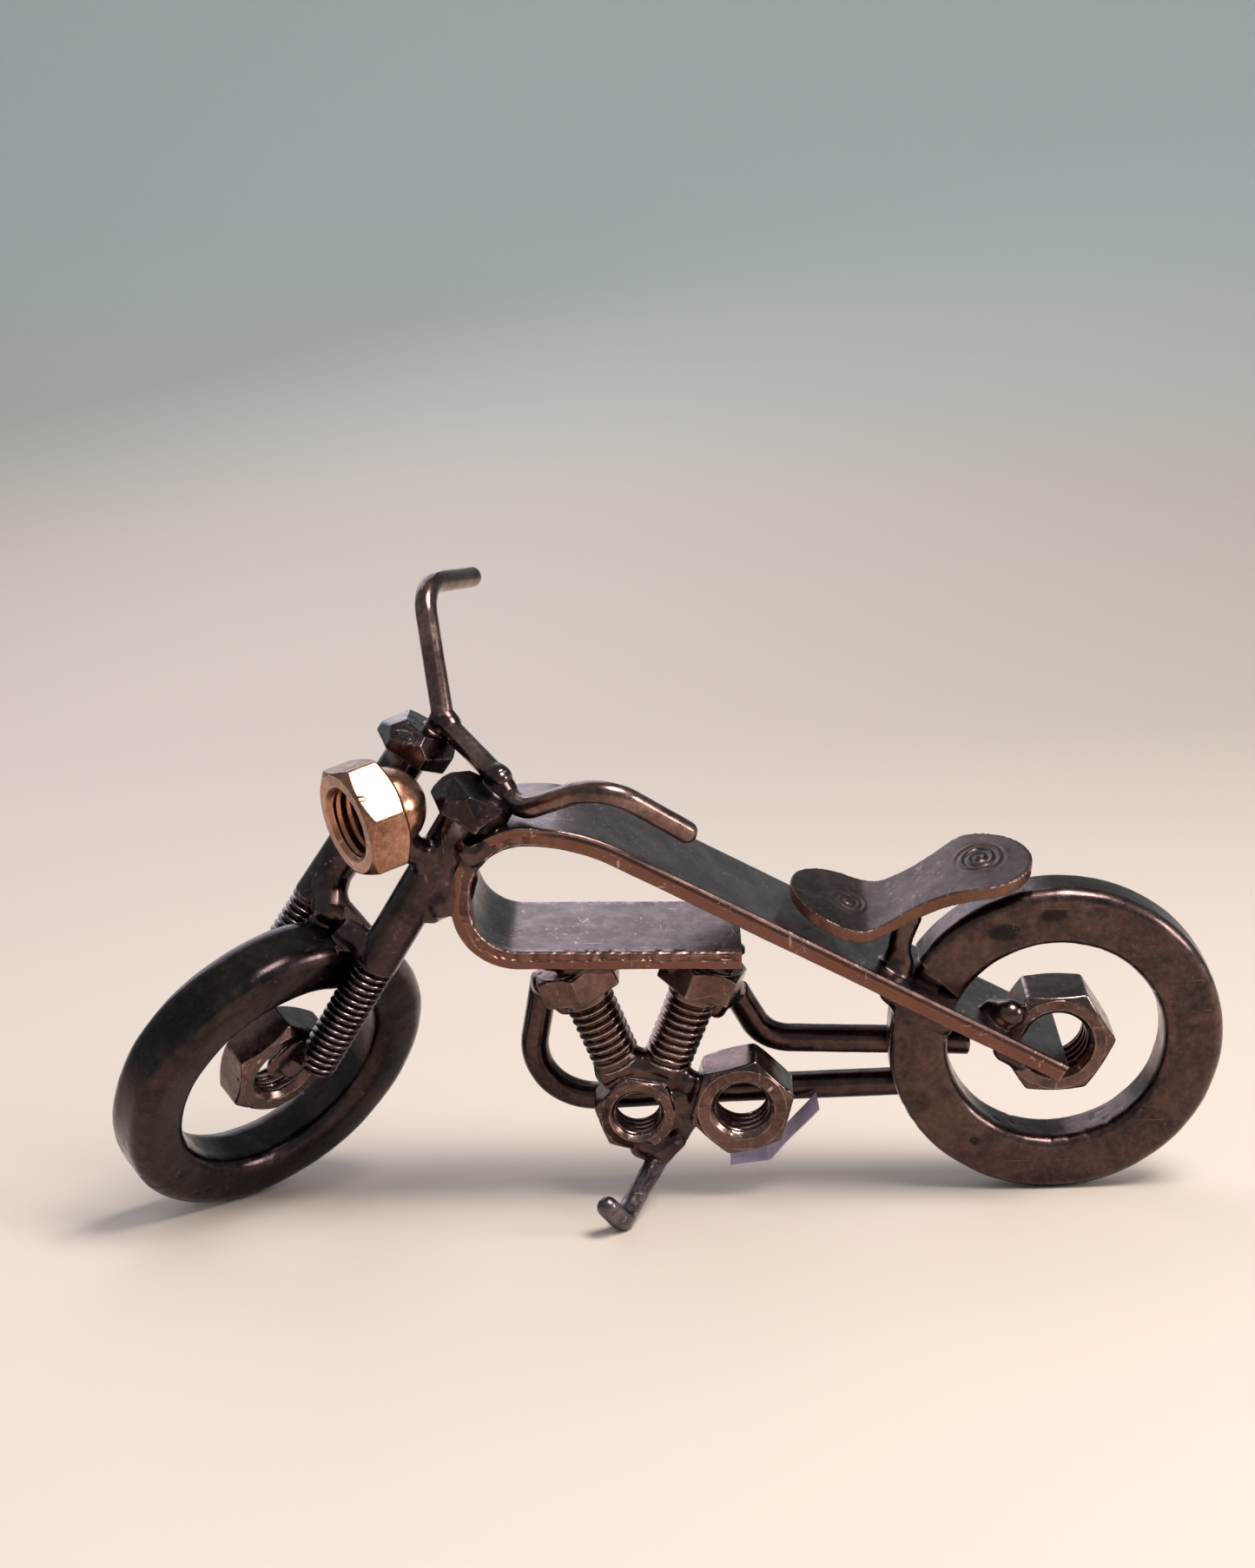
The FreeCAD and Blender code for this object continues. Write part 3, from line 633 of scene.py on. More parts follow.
def steel(slot, dark, light, bare, cut=(0.2, 0.14, 0.12), rust=0.3, scratch=0.5, gloss=(0.22, 0.42),
          grain=0.4, coat=0.5, wear=0.6):
    """Lacquered steel: mottled colour, brighter worn edges, cut faces (their copper partly a painted warm
    reflection), real stains and painted shade, painted highlights, scratches, rust and fine grain.
    """
    n = Nodes(slot)
    cloud = n.between(n.noise(0.11, 5, 0.6, distortion=0.6), 0.36, 0.66)
    fine = n.between(n.noise(0.9, 3, 0.6), 0.4, 0.66)
    colour = n.mix(n.math("ADD", n.product(cloud, 0.7), n.product(fine, 0.3)), dark, light)
    tint = n.add("ShaderNodeAttribute", attribute_name="tint").outputs["Color"]
    is_cut, stain, shine = n.add("ShaderNodeSeparateColor", {0: tint}).outputs
    colour = n.mix(n.product(is_cut, n.between(fine, 0, 1, 0.7, 1.0)), colour, cut)
    # darker where the second share is set: real stain on rings and seat, painted shade on the bar's torn
    # edges
    colour = n.mix(n.product(stain, 0.85), colour, tuple(c * 0.25 for c in dark))
    # painted highlight, in bare metal colour
    colour = n.mix(shine, colour, bare)
    edge = n.between(n.add("ShaderNodeNewGeometry").outputs["Pointiness"], 0.508, 0.56)
    rubbed = n.product(n.product(edge, n.between(n.noise(0.5, 4), 0.38, 0.6)), wear)
    colour = n.mix(rubbed, colour, bare)
    lines = [n.between(n.noise(1.5, 2, 0.5, stretch=s, turn=t, distortion=0.1), 0.655, 0.70)
             for s, t in SCRATCH_RUNS]
    scratches = n.math("MAXIMUM", n.math("MAXIMUM", lines[0], lines[1]), lines[2])
    scratches = n.product(scratches, n.between(n.noise(0.16, 2), 0.46, 0.62, 0.0, scratch))
    colour = n.mix(scratches, colour, bare)
    pitted = n.between(n.noise(0.13, 3), 0.48, 0.66)
    pits = n.product(n.between(n.noise(1.3, 5, 0.7), 0.60, 0.70), pitted)
    spots = n.product(pits, rust)
    n.shade(Base_Color=n.mix(spots, colour, RUST), Metallic=n.math("SUBTRACT", 1.0, n.product(spots, 0.8)))
    smear = n.between(n.noise(0.35, 4, 0.65), 0.35, 0.68, gloss[0], gloss[1])
    dull = n.math("ADD", smear, n.product(spots, 0.35))
    n.shade(Roughness=n.math("SUBTRACT", dull, n.product(rubbed, 0.06)))
    n.shade(Coat_Weight=coat, Coat_Roughness=0.18, Specular_IOR_Level=0.6)
    height = n.math("SUBTRACT", n.product(n.noise(2.4, 4, 0.6), grain), n.product(scratches, 0.5))
    n.bump(n.math("SUBTRACT", height, n.product(pits, 0.6)), 0.35, 0.12)
    return n.material


def paper(slot):
    """Plain lilac label paper with faint fibres and grubby patches."""
    n = Nodes(slot)
    fibre = n.between(n.noise(1.4, 5, 0.7), 0.35, 0.65)
    grime = n.between(n.noise(0.25, 3), 0.4, 0.7)
    colour = n.mix(fibre, (0.58, 0.46, 0.60), (0.68, 0.57, 0.72))
    n.shade(Base_Color=n.mix(n.product(grime, 0.35), colour, (0.26, 0.20, 0.24)),
            Roughness=n.between(n.noise(0.6, 3), 0.3, 0.7, 0.4, 0.6))
    n.bump(n.noise(2.2, 4), 0.25, 0.05)
    return n.material


# Each steel's dark and light patches, bare metal and, where it has any, cut or threaded metal; the copper cut
# colours on the bar's and seat's edges are partly a painted warm reflection.
STEELS = {
    "flat_bar_steel": dict(dark=(0.100, 0.068, 0.070), light=(0.225, 0.160, 0.162), bare=(0.62, 0.48, 0.45),
                           cut=(0.190, 0.080, 0.052), rust=0.35, scratch=0.6, wear=0.4,
                           gloss=(0.28, 0.42), grain=0.5),
    "rear_ring_steel": dict(dark=(0.036, 0.021, 0.019), light=(0.125, 0.073, 0.064), bare=(0.45, 0.31, 0.27),
                            rust=0.5, scratch=0.15, gloss=(0.24, 0.40), grain=0.7),
    "front_ring_steel": dict(dark=(0.013, 0.008, 0.009), light=(0.055, 0.031, 0.029),
                             bare=(0.22, 0.16, 0.15), rust=0.8, scratch=0.1, gloss=(0.20, 0.38), grain=0.8),
    "nut_steel": dict(dark=(0.072, 0.042, 0.038), light=(0.205, 0.124, 0.108), bare=(0.72, 0.54, 0.49),
                      cut=(0.22, 0.13, 0.11), scratch=0.2, gloss=(0.18, 0.33), wear=0.9),
    "coppery_nut": dict(dark=(0.20, 0.085, 0.048), light=(0.55, 0.30, 0.205), bare=(0.88, 0.68, 0.60),
                        cut=(0.35, 0.12, 0.045), scratch=0.2, gloss=(0.20, 0.34), wear=0.5),
    "fork_bolt_steel": dict(dark=(0.028, 0.017, 0.017), light=(0.085, 0.052, 0.051), bare=(0.40, 0.32, 0.34),
                            cut=(0.17, 0.12, 0.12), scratch=0.4, gloss=(0.18, 0.34)),
    "cylinder_bolt_steel": dict(dark=(0.090, 0.049, 0.041), light=(0.220, 0.130, 0.110),
                                bare=(0.60, 0.47, 0.43), cut=(0.46, 0.36, 0.35), scratch=0.2,
                                gloss=(0.22, 0.36)),
    "pipe_steel": dict(dark=(0.036, 0.020, 0.018), light=(0.115, 0.066, 0.057), bare=(0.32, 0.25, 0.23),
                       rust=0.2, scratch=0.1, gloss=(0.18, 0.32), grain=0.25),
    "rod_steel": dict(dark=(0.085, 0.048, 0.040), light=(0.27, 0.168, 0.146), bare=(0.62, 0.49, 0.45),
                      scratch=0.2, gloss=(0.17, 0.30), grain=0.3),
    "kickstand_steel": dict(dark=(0.085, 0.068, 0.072), light=(0.22, 0.185, 0.190), bare=(0.55, 0.50, 0.52),
                            rust=0.4, scratch=0.8, gloss=(0.28, 0.46), grain=1.2),
    "seat_steel": dict(dark=(0.050, 0.032, 0.028), light=(0.128, 0.086, 0.076), bare=(0.55, 0.43, 0.39),
                       cut=(0.20, 0.095, 0.062), rust=0.6, scratch=0.08, gloss=(0.36, 0.50), grain=0.8,
                       wear=0.15),
    "weld_bead": dict(dark=(0.038, 0.021, 0.019), light=(0.125, 0.072, 0.062), bare=(0.40, 0.29, 0.27),
                      rust=0.1, scratch=0.03, gloss=(0.20, 0.32), grain=0.15, coat=0.6, wear=0.3),
}
MATERIALS = {slot: steel(slot, **look) for slot, look in STEELS.items()}
MATERIALS["label_paper"] = paper("label_paper")


# ---- the frame bar ----

tank_corner = BAR_TAIL[0] + (TANK_MIDDLE_Z - BAR_TAIL[2]) / math.tan(SLOPE)
BAR_PATH = rounded_path(
    [(LOWER_LEG_END, 0, LOWER_LEG_Z), (FRONT_LEG_X, 0, LOWER_LEG_Z), (FRONT_LEG_X, 0, TANK_MIDDLE_Z),
     (tank_corner, 0, TANK_MIDDLE_Z), BAR_TAIL], BAR_BENDS, 0.3)


def make_bar():
    """The flat bar; its cut edges are torn on the half inside the loop, and smooth outside it. Their groove
    and torn hollows get painted shade, and their lip, rolled edge and torn crests a painted highlight.
    """
    section = corner_section(BAR_WIDTH / 2, BAR_THICK / 2, 0.28, 4, 22, 13)
    grid = sweep_grid(BAR_PATH, section)
    length = np.concatenate([[0], np.cumsum(np.linalg.norm(np.diff(BAR_PATH, axis=0), axis=1))])
    along = length[:, None] + 0 * section[:, 0]
    wide, thick = section[:, 0] + 0 * along, section[:, 1] + 0 * along
    # side marks the cut edges, whose copper cut colour is partly a painted warm reflection
    side = smooth_step(BAR_WIDTH / 2 - 0.3, BAR_WIDTH / 2 - 0.05, np.abs(wide))
    marks = np.stack([along + 0.25 * thick, wide, thick], -1)
    ragged = 0.35 * noise(marks, np.array([3.0, 30, 30]), 2)
    inner = smooth_step(-0.15 + ragged, 0.1 + ragged, thick)
    torn = noise(marks, np.array([1.1, 30, 7]), 3) + 0.6 * noise(marks, np.array([0.7, 30, 2.0]), 4)
    sloping = smooth_step(length[-1] - 112, length[-1] - 100, along)
    rough_cut = inner * (0.34 * torn - 0.28) * (1 - 0.75 * sloping)
    lip = 0.26 * np.exp(-((thick - 1.35) / 0.18) ** 2) * (1 - sloping)
    groove = -0.3 * np.exp(-((thick + 0.75) / 0.16) ** 2) * sloping
    rolled = 0.25 * np.exp(-((thick + 1.3) / 0.22) ** 2) * sloping
    grid[..., 1] += np.sign(wide) * side * (rough_cut + lip + groove + rolled)
    ripped = inner * (1 - sloping)
    # painted shade in the groove on the sloping part and in the torn hollows
    hollow_shade = side * (np.exp(-((thick + 0.75) / 0.14) ** 2) * sloping + ripped * np.clip(-torn, 0, 1))
    # painted highlight on the lip, the rolled edge and the torn crests
    shine = side * (0.9 * lip / 0.26 + rolled / 0.25 + 0.3 * ripped * np.clip(torn, 0, 1))
    return wrap(grid, caps=True, cut=side, stain=0.9 * hollow_shade, shine=0.35 * shine)


piece("frame_bar", make_bar(), "flat_bar_steel", ["frame_strap"],
      lambda p, n: 0.05 * rough(p, 9.0, 3, 21) + 0.012 * rough(p, 1.2, 2, 5))


# ---- wheels ----

def rear_gap(radius):
    """Where the open rear ring starts and ends, for each radius of its section."""
    hinge = on_slope(18.6, BAR_THICK / 2)
    low = on_slope(0.0, -BAR_THICK / 2 - 0.3)
    spans = []
    for base, way in ((hinge, REAR_GAP_ANGLE), (low, SLOPE)):
        step = np.array([math.cos(way), math.sin(way)])
        b = base[[0, 2]] @ step
        c = base[[0, 2]] @ base[[0, 2]] - radius ** 2
        spot = base[[0, 2]] + (-b + np.sqrt(b * b - c))[:, None] * step
        spans.append(np.arctan2(spot[:, 1], spot[:, 0]))
    return spans[0], spans[1] + 2 * math.pi


def dented(points, normals):
    """Shallow hammering and a few pits."""
    pits = smooth_step(0.55, 0.8, noise(points, 1.7, 31)) * smooth_step(0.1, 0.5, noise(points, 9.0, 33))
    return 0.10 * rough(points, 8.0, 3, 11) + 0.02 * rough(points, 1.5, 2, 12) - 0.16 * pits


UPRIGHT = np.array([[1, 0, 0], [0, 0, 1], [0, 1, 0]], float)
RING_STAINS = (((10.7, 4.8, 22.9), (2.9, 2.0, 1.5)), ((1.8, 4.8, 26.4), (2.4, 2.0, 1.4)),
               ((14.3, 4.8, -20.0), (0.9, 2.0, 0.8)))
rear_wheel = ring_shell(REAR_RING, rear_gap).placed((0, 0, 0), UPRIGHT)
wander = 0.24 * noise(rear_wheel.points, 1.6, 35)
for middle, reach in RING_STAINS:
    away = np.linalg.norm((rear_wheel.points - middle) / reach, axis=1)
    stained = smooth_step(1.15, 0.85, away + wander)
    rear_wheel.tint[:, 1] = np.maximum(rear_wheel.tint[:, 1], stained)
piece("rear_wheel", rear_wheel, "rear_ring_steel", ["rear_wheel_ring"], dented)
front_hub = fork_point(-WHEEL_DROP, -WHEEL_BACK, 0)
front_wheel = ring_shell(FRONT_RING).placed(front_hub, aim_matrix(FORK_LEFT))
piece("front_wheel", front_wheel, "front_ring_steel", ["front_wheel_ring"], dented)


# ---- nuts ----

def knocks(seed):
    """Small dents on hardware."""
    def height(points, normals):
        battered = smooth_step(0.0, 0.4, noise(points, 4.0, seed + 1))
        nicks = smooth_step(0.5, 0.85, noise(points, 1.3, seed)) * battered
        return 0.035 * rough(points, 4.0, 3, seed + 2) - 0.12 * nicks
    return height


# Nuts whose bores lie across the bike: size, place, spin and CAD node.
LYING_NUTS = {
    "rear_axle": (NUT_12, AXLE_NUT, 2, "rear_axle_nut"),
    "small_crankcase": (NUT_38, SMALL_NUT, -10, "crankcase_nut_front"),
    "big_crankcase": (NUT_716, BIG_NUT, 16, "crankcase_nut_rear"),
}
for seed, (name, (size, place, spin, node)) in enumerate(LYING_NUTS.items(), 41):
    piece(name, nut_shell(size).placed(place, aim_matrix(SIDE, spin)), "nut_steel", [node], knocks(seed))

FRONT_NUT_SPIN, LAMP_SPIN = 12, 22
front_axle = nut_shell(JAM_12).placed(fork_point(*FRONT_NUT), aim_matrix(FORK_LEFT, FRONT_NUT_SPIN))
piece("front_axle", front_axle, "nut_steel", ["front_axle_nut"], knocks(44))

lamp_way = unit(fork_point(*LAMP_WAY) - fork_point(0, 0, 0))
lamp_face = fork_point(*LAMP_FACE)
lamp_back = lamp_face - lamp_way * JAM_12["height"]
lamp_middle = lamp_face - lamp_way * JAM_12["height"] / 2
headlight = nut_shell(JAM_12).placed(lamp_middle, aim_matrix(lamp_way, LAMP_SPIN))
piece("headlight", headlight, "coppery_nut", ["headlight_nut"], knocks(45))


def bowl_shell():
    """The lamp's bowl: half a hollow ball opening along +Z, its rim left flat."""
    outside, inside = LAMP_BOWL
    outer = [(outside * math.sin(a), -outside * math.cos(a)) for a in np.radians(np.linspace(2, 90, 30))]
    inner = [(inside * math.sin(a), -inside * math.cos(a)) for a in np.radians(np.linspace(90, 2, 24))]
    profile = np.array(outer + inner)
    angles = around(96)
    return wrap(turned_grid(profile[:, :1] + 0 * angles, profile[:, 1:], angles), caps=True)


piece("headlight_back", bowl_shell().placed(lamp_back, aim_matrix(lamp_way)), "coppery_nut",
      ["headlight_bowl"], lambda p, n: 0.12 * rough(p, 5.0, 3, 51))


# ---- bolts ----

def fork_leg(side, back):
    """Where a fork bolt's head sits, and which way it points up."""
    seat = fork_point(FORK_LENGTH, -12 * back, side * FORK_HALF)
    return seat, unit(FORK_UP - FORK_AHEAD * back)


def leaning(lean):
    """The way up along an engine bolt."""
    return np.array([math.sin(lean), 0, math.cos(lean)])


HEAD_SPIN, FRONT_SPIN, REAR_SPIN = -10, 30, 13
FORK_LEGS = {
    "left": (fork_leg(1, 0.0),
             [((0.55, 0.55, 0.75), 6.9), ((-0.4, 0.8, 0.5), 7.0), ((0.9, -0.4, 0.35), 6.7)]),
    "right": (fork_leg(-1, RIGHT_LEG_LEAN),
              [((0.30, 0.65, 0.75), 6.35), ((-0.55, 0.45, 0.75), 6.45), ((0.75, 0.1, 0.72), 6.5)]),
}
for name, ((seat, up), gouges) in FORK_LEGS.items():
    whole = head_shell(BOLT_516["flats"], BOLT_516["head"], gouges)
    whole = whole + shank_shell(BOLT_516, FORK_LENGTH, FORK_THREAD)
    piece("fork_leg_" + name, whole.placed(seat, aim_matrix(up, HEAD_SPIN)), "fork_bolt_steel",
          ["fork_bolt_" + name], knocks(60 + len(name)))

CYLINDERS = {"front": (FRONT_SEAT, leaning(FRONT_LEAN), FRONT_SPIN),
             "rear": (REAR_SEAT, leaning(REAR_LEAN), REAR_SPIN)}
for name, (seat, up, spin) in CYLINDERS.items():
    whole = head_shell(BOLT_38["flats"], BOLT_38["head"])
    whole = whole + shank_shell(BOLT_38, CYLINDER_LENGTH, CYLINDER_LENGTH - 2.2)
    piece(name + "_cylinder", whole.placed(seat, aim_matrix(up, spin)), "cylinder_bolt_steel",
          [name + "_cylinder_bolt"], knocks(70 + spin))


# ---- rods ----

def drawn(seed, depth=0.05):
    """Slight unevenness of bent rod."""
    return lambda points, normals: depth * rough(points, 5.0, 3, seed)


bar_up = FORK_LENGTH + BOLT_516["head"] + ROD_RADIUS
RODS = {
    "handlebar_crossbar": ([(bar_up, -4.6, -8.6), (bar_up, -4.6, 8.6)], [], ROD_RADIUS, (True, True)),
    "handlebar_right": ([(bar_up + 0.5, -4.2, -9.2), (82.8, -3.2, -28.6), (82.9, -22.0, -35.1)], [7.5],
                        ROD_RADIUS, (False, True)),
    "handlebar_left": ([(bar_up - 1.4, -5.6, 10.2), (63.8, -5.6, 15.2), (79.4, -3.6, 28.6),
                        (76.5, -22.0, 36.6)], [7.0, 8.0], ROD_RADIUS, (False, True)),
    "fork_brace": ([(27.4, 1.2, -FORK_HALF), (27.4, 1.2, FORK_HALF)], [], 2.1, (True, True)),
}
for k, (name, (points, bends, radius, tips)) in enumerate(RODS.items()):
    shell = rod_shell([fork_point(*p) for p in points], bends, radius, tips)
    piece(name + "_rod", shell, "rod_steel", [name], drawn(80 + k))

UPPER_PIPE = [(59.0, -5.4, 6.4), (53.2, PIPE_SIDE, -4.7), (14.6, PIPE_SIDE, -5.4)]
LOWER_PIPE = [(94.4, -6.4, 8.8), (98.8, PIPE_SIDE, -17.9), (60.0, PIPE_SIDE, -15.6), (21.0, PIPE_SIDE, -13.8)]
piece("upper_exhaust", rod_shell(UPPER_PIPE, [8.0], PIPE_RADIUS, (False, False)), "pipe_steel",
      ["exhaust_pipe_upper"], drawn(91))
piece("lower_exhaust", rod_shell(LOWER_PIPE, [11.5, 60.0], PIPE_RADIUS, (False, False)), "pipe_steel",
      ["exhaust_pipe_lower"], drawn(92))

stand_hip = to_row((73.4, 3.0, -24.4)) / MM
stand_elbow = to_row((80.0, 20.8, -27.0)) / MM
stand_elbow[2] = STAND_RADIUS
stand_tip = stand_elbow + np.array([2.4, 4.3, 4.4])
stand = rod_shell([stand_hip, stand_elbow, stand_tip], [2.2], STAND_RADIUS)
stand.points = stand.points * MM
stand.points[:, 2] -= stand.points[:, 2].min() - 0.02 * MM
piece("side_stand", stand, "kickstand_steel", ["kickstand"],
      lambda p, n: 0.10 * rough(p, 2.6, 3, 95) * smooth_step(-30.4, -29.6, p[:, 2]), in_row=True)


# ---- seat ----

def refined(node, voxel, rounds):
    """A CAD node's shape as a fine even mesh with softened edges, in the frame."""
    copy = bpy.data.objects.new("refined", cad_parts[node].data.copy())
    bpy.context.scene.collection.objects.link(copy)
    remesh = copy.modifiers.new("remesh", "REMESH")
    remesh.mode, remesh.voxel_size = "VOXEL", voxel * MM
    soften = copy.modifiers.new("soften", "SMOOTH")
    soften.factor, soften.iterations = 0.5, rounds
    graph = bpy.context.evaluated_depsgraph_get()
    mesh = bpy.data.meshes.new_from_object(copy.evaluated_get(graph))
    bpy.data.objects.remove(copy)
    points = np.array([v.co for v in mesh.vertices])
    faces = [list(f.vertices) for f in mesh.polygons]
    bpy.data.meshes.remove(mesh)
    return Shell(points, faces)


# Each pad's middle, how far its turned rings reach, their pitch and depth, and how stained they are.
RING_MARKS = ((SEAT_PADS[0] - 0.6, 4.6, 1.25, 0.10, 0.4), (SEAT_PADS[1] - 0.4, 6.2, 1.5, 0.16, 0.95))


def pad_rings(points):
    """Heights of the turned rings at the middle of each seat pad, and how stained each point is."""
    height, stain = np.zeros(len(points)), np.zeros(len(points))
    for x, reach, pitch, deep, dark in RING_MARKS:
        away = np.hypot((points[:, 0] - x) * 1.06, points[:, 1] + 0.5 * noise(points, 3.0, 8))
        swirl = np.arctan2(points[:, 1], points[:, 0] - x) / (2 * math.pi)
        fade = smooth_step(reach, reach * 0.45, away)
        wave = np.sin(2 * math.pi * (away / pitch - swirl))
        height += deep * fade * wave
        height += 0.25 * np.exp(-(away / 0.9) ** 2)
        stain += fade * dark * smooth_step(-0.9, 0.5, wave)
    return height, np.clip(stain, 0, 1)


def seat_bumps(points, normals):
    upward = smooth_step(0.5, 0.8, normals[:, 2])
    dents = 0.05 * rough(points, 6.0, 3, 101) + 0.005 * rough(points, 1.2, 2, 102)
    return dents + upward * pad_rings(points)[0]


seat = refined("seat_plate", 0.28, 3)
seat.tint[:, 1] = pad_rings(to_bike(seat.points))[1]
piece("seat", seat, "seat_steel", ["seat_plate"], seat_bumps, in_row=True, rim=True)


# ---- label ----

def label_shell():
    """A strip of paper folded round the nut's lower rear flats, its ends a little curled."""
    path = rounded_path([(59.4, 0, -26.2), (52.2, 0, -25.3), (43.8, 0, -14.1)], [0.8], 0.35)
    section = corner_section(3.2, 0.1, 0.06, 3, 16, 1)
    grid = sweep_grid(path, section)
    grid[..., 1] -= 0.3
    ahead = np.linspace(0, 1, len(path))[:, None]
    curl = smooth_step(0.55, 1.0, ahead) * 0.9 - smooth_step(0.25, 0.0, ahead) * 0.5
    grid[..., 0] -= curl * 0.5 * (1 + 0.3 * grid[..., 1] / 3)
    grid[..., 2] -= np.abs(curl) * 0.35
    return wrap(grid, caps=True)


piece("paper_label", label_shell(), "label_paper", ["blank_label"])


# ---- welds ----

def bolt_field(seat, up, size, length, spin, worn=0.0):
    """The field of a bolt, its shank's radius less by worn."""
    def field(p):
        head = prism_field(p, seat, up, size["flats"], 0, size["head"], spin)
        return np.minimum(head, rod_field(p, seat - up * length, seat, size["major"] / 2 - worn))
    return field


def nut_field(size, place, way, spin):
    """The field of a nut about place, its bore along way."""
    half = size["height"] / 2
    return lambda p: prism_field(p, place, way, size["flats"], -half, half, spin)


def along_rod(name):
    """The field of a rod made from fork points."""
    points = [fork_point(*p) for p in RODS[name][0]]
    radius = RODS[name][2]
    return lambda p: np.minimum.reduce([rod_field(p, a, b, radius) for a, b in zip(points, points[1:])])


def pipe(points):
    """The field of an exhaust's first run, where it is welded on."""
    first, second = (np.asarray(p, float) for p in points[:2])
    return lambda p: rod_field(p, first, second, PIPE_RADIUS)


def lamp(p):
    nut = nut_field(JAM_12, lamp_middle, lamp_way, LAMP_SPIN)(p)
    return np.minimum(nut, np.linalg.norm(p - lamp_back, axis=-1) - LAMP_BOWL[0])


def front_ring(p):
    return ring_field(p, front_hub, FORK_LEFT, FRONT_RING)


def rear_ring(p):
    return ring_field(p, np.zeros(3), SIDE, REAR_RING)


left_leg, right_leg = (bolt_field(*leg, BOLT_516, FORK_LENGTH, HEAD_SPIN) for leg, _ in FORK_LEGS.values())
front_cylinder, rear_cylinder = (bolt_field(seat, up, BOLT_38, CYLINDER_LENGTH, spin, worn=0.4)
                                 for seat, up, spin in CYLINDERS.values())
axle_nut, small_nut, big_nut = (nut_field(size, place, SIDE, spin)
                                for size, place, spin, _ in LYING_NUTS.values())
turned_nut = nut_field(JAM_12, fork_point(*FRONT_NUT), FORK_LEFT, FRONT_NUT_SPIN)

# Bores that no weld metal may fill: middle and radius.
BORES = [(SMALL_NUT, 5.1), (BIG_NUT, 5.9), (AXLE_NUT, 6.8)]


def at(*stations):
    """Stations written as (x, y, z, radius) in the bike's frame."""
    return [(np.array(s[:3], float), s[3]) for s in stations]


def on_fork(*stations):
    """Stations written as (up, ahead, left, radius) on the fork."""
    return [(fork_point(*s[:3]), s[3]) for s in stations]


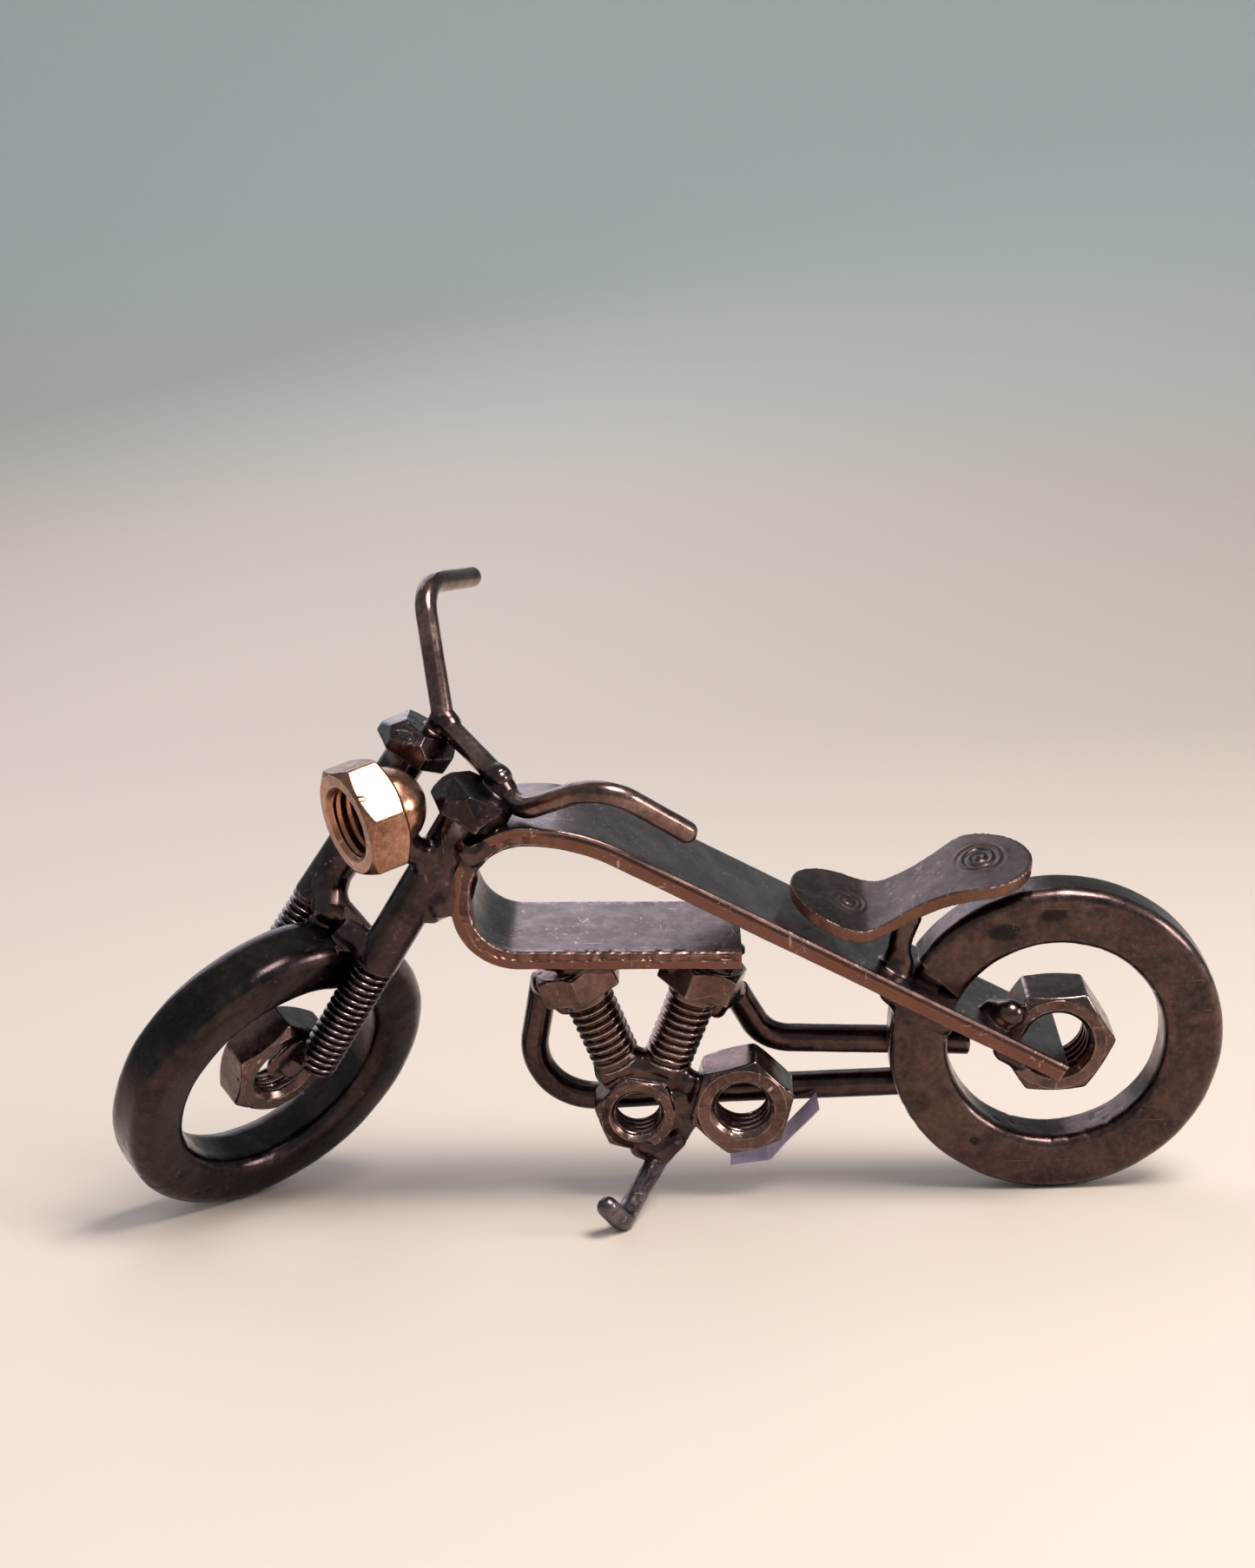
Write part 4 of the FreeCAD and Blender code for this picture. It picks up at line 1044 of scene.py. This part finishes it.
ENGINE = [front_cylinder, rear_cylinder, small_nut, big_nut]
WELDS = {
    "weld_fork_frame": (at((102.6, 8.2, 43.6, 1.6), (106.3, 10.0, 41.2, 2.5), (107.6, 7.6, 38.9, 2.2),
                           (109.8, 7.6, 36.6, 2.8), (110.4, 7.4, 33.6, 3.1), (112.0, 8.6, 30.8, 2.6),
                           (113.8, 7.6, 28.4, 1.8), (109.0, 7.2, 32.6, 2.4), (107.6, 7.4, 35.6, 2.3)),
                        [left_leg, bar_field]),
    "weld_headlight": (on_fork((48.6, 3.2, 8.6, 2.8), (49.6, 8.6, 7.6, 2.8)), [left_leg, lamp]),
    "weld_handlebar_right": (on_fork((64.8, -5.0, -9.6, 2.4), (66.2, -4.8, -8.0, 2.2)),
                             [right_leg, along_rod("handlebar_crossbar"), along_rod("handlebar_right")]),
    "weld_handlebar_left": (on_fork((64.2, -5.6, 9.6, 2.3), (65.8, -4.9, 7.8, 2.3)),
                            [left_leg, along_rod("handlebar_crossbar"), along_rod("handlebar_left")]),
    "weld_fork_brace_right": (on_fork((29.6, 1.8, -7.4, 2.8), (26.6, 3.0, -3.4, 3.0)),
                              [right_leg, along_rod("fork_brace"), front_ring]),
    "weld_fork_brace_left": (on_fork((26.4, 1.6, 6.4, 2.6), (25.8, 2.4, 2.6, 2.6)),
                             [left_leg, along_rod("fork_brace"), front_ring]),
    "weld_front_axle": (on_fork((-2.4, 2.4, 6.2, 1.8), (0.6, 0.8, 6.4, 2.4)), [left_leg, turned_nut]),
    "weld_rear_axle_upper": (at((9.2, 6.4, 7.2, 2.5), (11.8, 3.6, 6.4, 2.4)), [axle_nut, bar_field]),
    "weld_rear_axle_lower": (at((9.6, 5.6, -0.6, 2.0), (6.6, 5.9, -2.6, 1.7)), [axle_nut, bar_field]),
    "weld_rear_wheel_under": (at((21.0, 3.6, 4.6, 2.2), (26.6, 3.0, 7.4, 2.6), (30.4, 1.4, 9.6, 2.4)),
                              [rear_ring, bar_field]),
    "weld_rear_wheel_over": (at((20.4, -3.4, 11.2, 1.8), (22.8, 0.0, 12.8, 2.0)), [rear_ring, bar_field]),
    "weld_cylinder_front": (at((93.4, 3.0, 17.2, 2.2), (88.0, 4.4, 16.8, 2.2), (82.4, 3.0, 16.8, 2.0)),
                            [front_cylinder, bar_field]),
    "weld_cylinder_bridge": (at((81.0, 1.6, 16.8, 2.0), (74.6, 1.8, 17.2, 2.0), (70.4, 2.2, 16.6, 2.2)),
                             [front_cylinder, rear_cylinder, bar_field]),
    "weld_cylinder_rear": (at((66.4, 3.6, 17.0, 2.1), (60.6, 3.8, 16.8, 2.1)), [rear_cylinder, bar_field]),
    "weld_crankcase_saddle": (at((82.2, 0.6, -7.2, 2.8), (77.4, 0.2, -6.4, 3.0), (71.6, 0.6, -8.0, 3.0),
                                 (68.0, 1.4, -9.4, 2.7)), ENGINE),
    "weld_crankcase_seam": (at((69.0, 1.4, -12.0, 2.7), (68.4, 2.0, -16.4, 2.7), (69.4, 1.8, -20.0, 2.1)),
                            [small_nut, big_nut]),
    "weld_kickstand": (at((76.8, 3.2, -22.2, 1.8), (73.2, 3.2, -23.4, 2.5), (70.0, 2.8, -20.8, 2.0)),
                       [small_nut]),
    "weld_exhaust_front": (at((94.2, -4.4, 8.2, 2.3), (90.4, -2.4, 5.0, 2.1)),
                           [front_cylinder, pipe(LOWER_PIPE)]),
    "weld_exhaust_rear": (at((60.2, -3.6, 8.0, 2.5), (62.4, -3.6, 3.6, 2.0)),
                          [rear_cylinder, pipe(UPPER_PIPE)]),
    "seat_post": (at((29.8, 3.4, 15.9, 3.0), (29.4, 3.6, 20.6, 1.9), (28.4, 3.6, 25.4, 2.7)), [bar_field]),
}
for k, (node, (stations, neighbours)) in enumerate(WELDS.items()):
    name = node.replace("weld_", "bead_").replace("seat_post", "seat_pillar")
    piece(name, weld_shell(stations, neighbours, BORES, seed=200 + 10 * k), "weld_bead", [node])


# ---- floor, light and camera ----

def plain(name, low, high, roughness):
    """A plain stage material whose floor is one colour and whose wall is another."""
    n = Nodes(name)
    height = n.add("ShaderNodeSeparateXYZ", {0: n.coords}).outputs["Z"]
    n.shade(Base_Color=n.mix(n.between(height, 0.0, 0.25), low, high), Roughness=roughness)
    return n.material


def add_floor():
    """A pale floor that curves up into a wall far behind."""
    bend = [(0.9 * math.sin(a), 0.9 * (1 - math.cos(a))) for a in np.radians(np.linspace(0, 90, 24))]
    profile = [(-3.0, 0.0)] + [(0.55 + y, z) for y, z in bend] + [(1.45, 3.5)]
    rows = [[(-3.5, -y, z), (3.5, -y, z)] for y, z in profile]
    mesh = bpy.data.meshes.new("floor")
    mesh.from_pydata([p for row in rows for p in row], [],
                     [(2 * k, 2 * k + 1, 2 * k + 3, 2 * k + 2) for k in range(len(rows) - 1)])
    mesh.shade_smooth()
    floor = bpy.data.objects.new("floor", mesh)
    mesh.materials.append(plain("floor_pale", (0.62, 0.53, 0.46), (0.50, 0.55, 0.56), 0.7))
    bpy.context.scene.collection.objects.link(floor)


def add_light(name, place, goal, size, watts, colour):
    """A soft square light at place, facing goal."""
    lamp = bpy.data.lights.new(name, "AREA")
    lamp.shape, lamp.size, lamp.energy, lamp.color = "SQUARE", size, watts, colour
    made = bpy.data.objects.new(name, lamp)
    bpy.context.scene.collection.objects.link(made)
    made.location = place
    way = np.asarray(goal, float) - np.asarray(place, float)
    made.rotation_mode = "QUATERNION"
    made.rotation_quaternion = Vector(way).to_track_quat("-Z", "Y")


def add_world():
    world = bpy.data.worlds.new("studio")
    bpy.context.scene.world = world
    world.use_nodes = True
    world.node_tree.nodes["Background"].inputs["Color"].default_value = (0.80, 0.88, 0.90, 1)
    world.node_tree.nodes["Background"].inputs["Strength"].default_value = 0.45


def add_camera():
    lens = bpy.data.cameras.new("camera")
    lens.lens, lens.sensor_width, lens.clip_start, lens.clip_end = 50.0, 30.0, 0.01, 20.0
    camera = bpy.data.objects.new("camera", lens)
    bpy.context.scene.collection.objects.link(camera)
    camera.location = (-0.00098, 0.46800, 0.16276)
    camera.rotation_euler = (math.radians(80.038), math.radians(1.824), math.radians(-179.454))
    bpy.context.scene.camera = camera


add_floor()
add_world()
for name, place, size, watts, colour in (
        ("key", (-0.34, 0.32, 0.86), 0.42, 8.5, (1.0, 0.96, 0.95)),
        ("side", (-0.85, 0.25, 0.30), 0.30, 3.0, (1.0, 0.95, 0.92)),
        ("back", (0.30, -0.60, 0.60), 0.80, 2.3, (0.92, 0.88, 1.0))):
    add_light(name, place, (0, 0, 0.05), size, watts, colour)
add_camera()
bpy.context.scene.view_settings.view_transform = "Standard"
bpy.context.scene.view_settings.look = "Medium High Contrast"

bpy.context.view_layer.update()
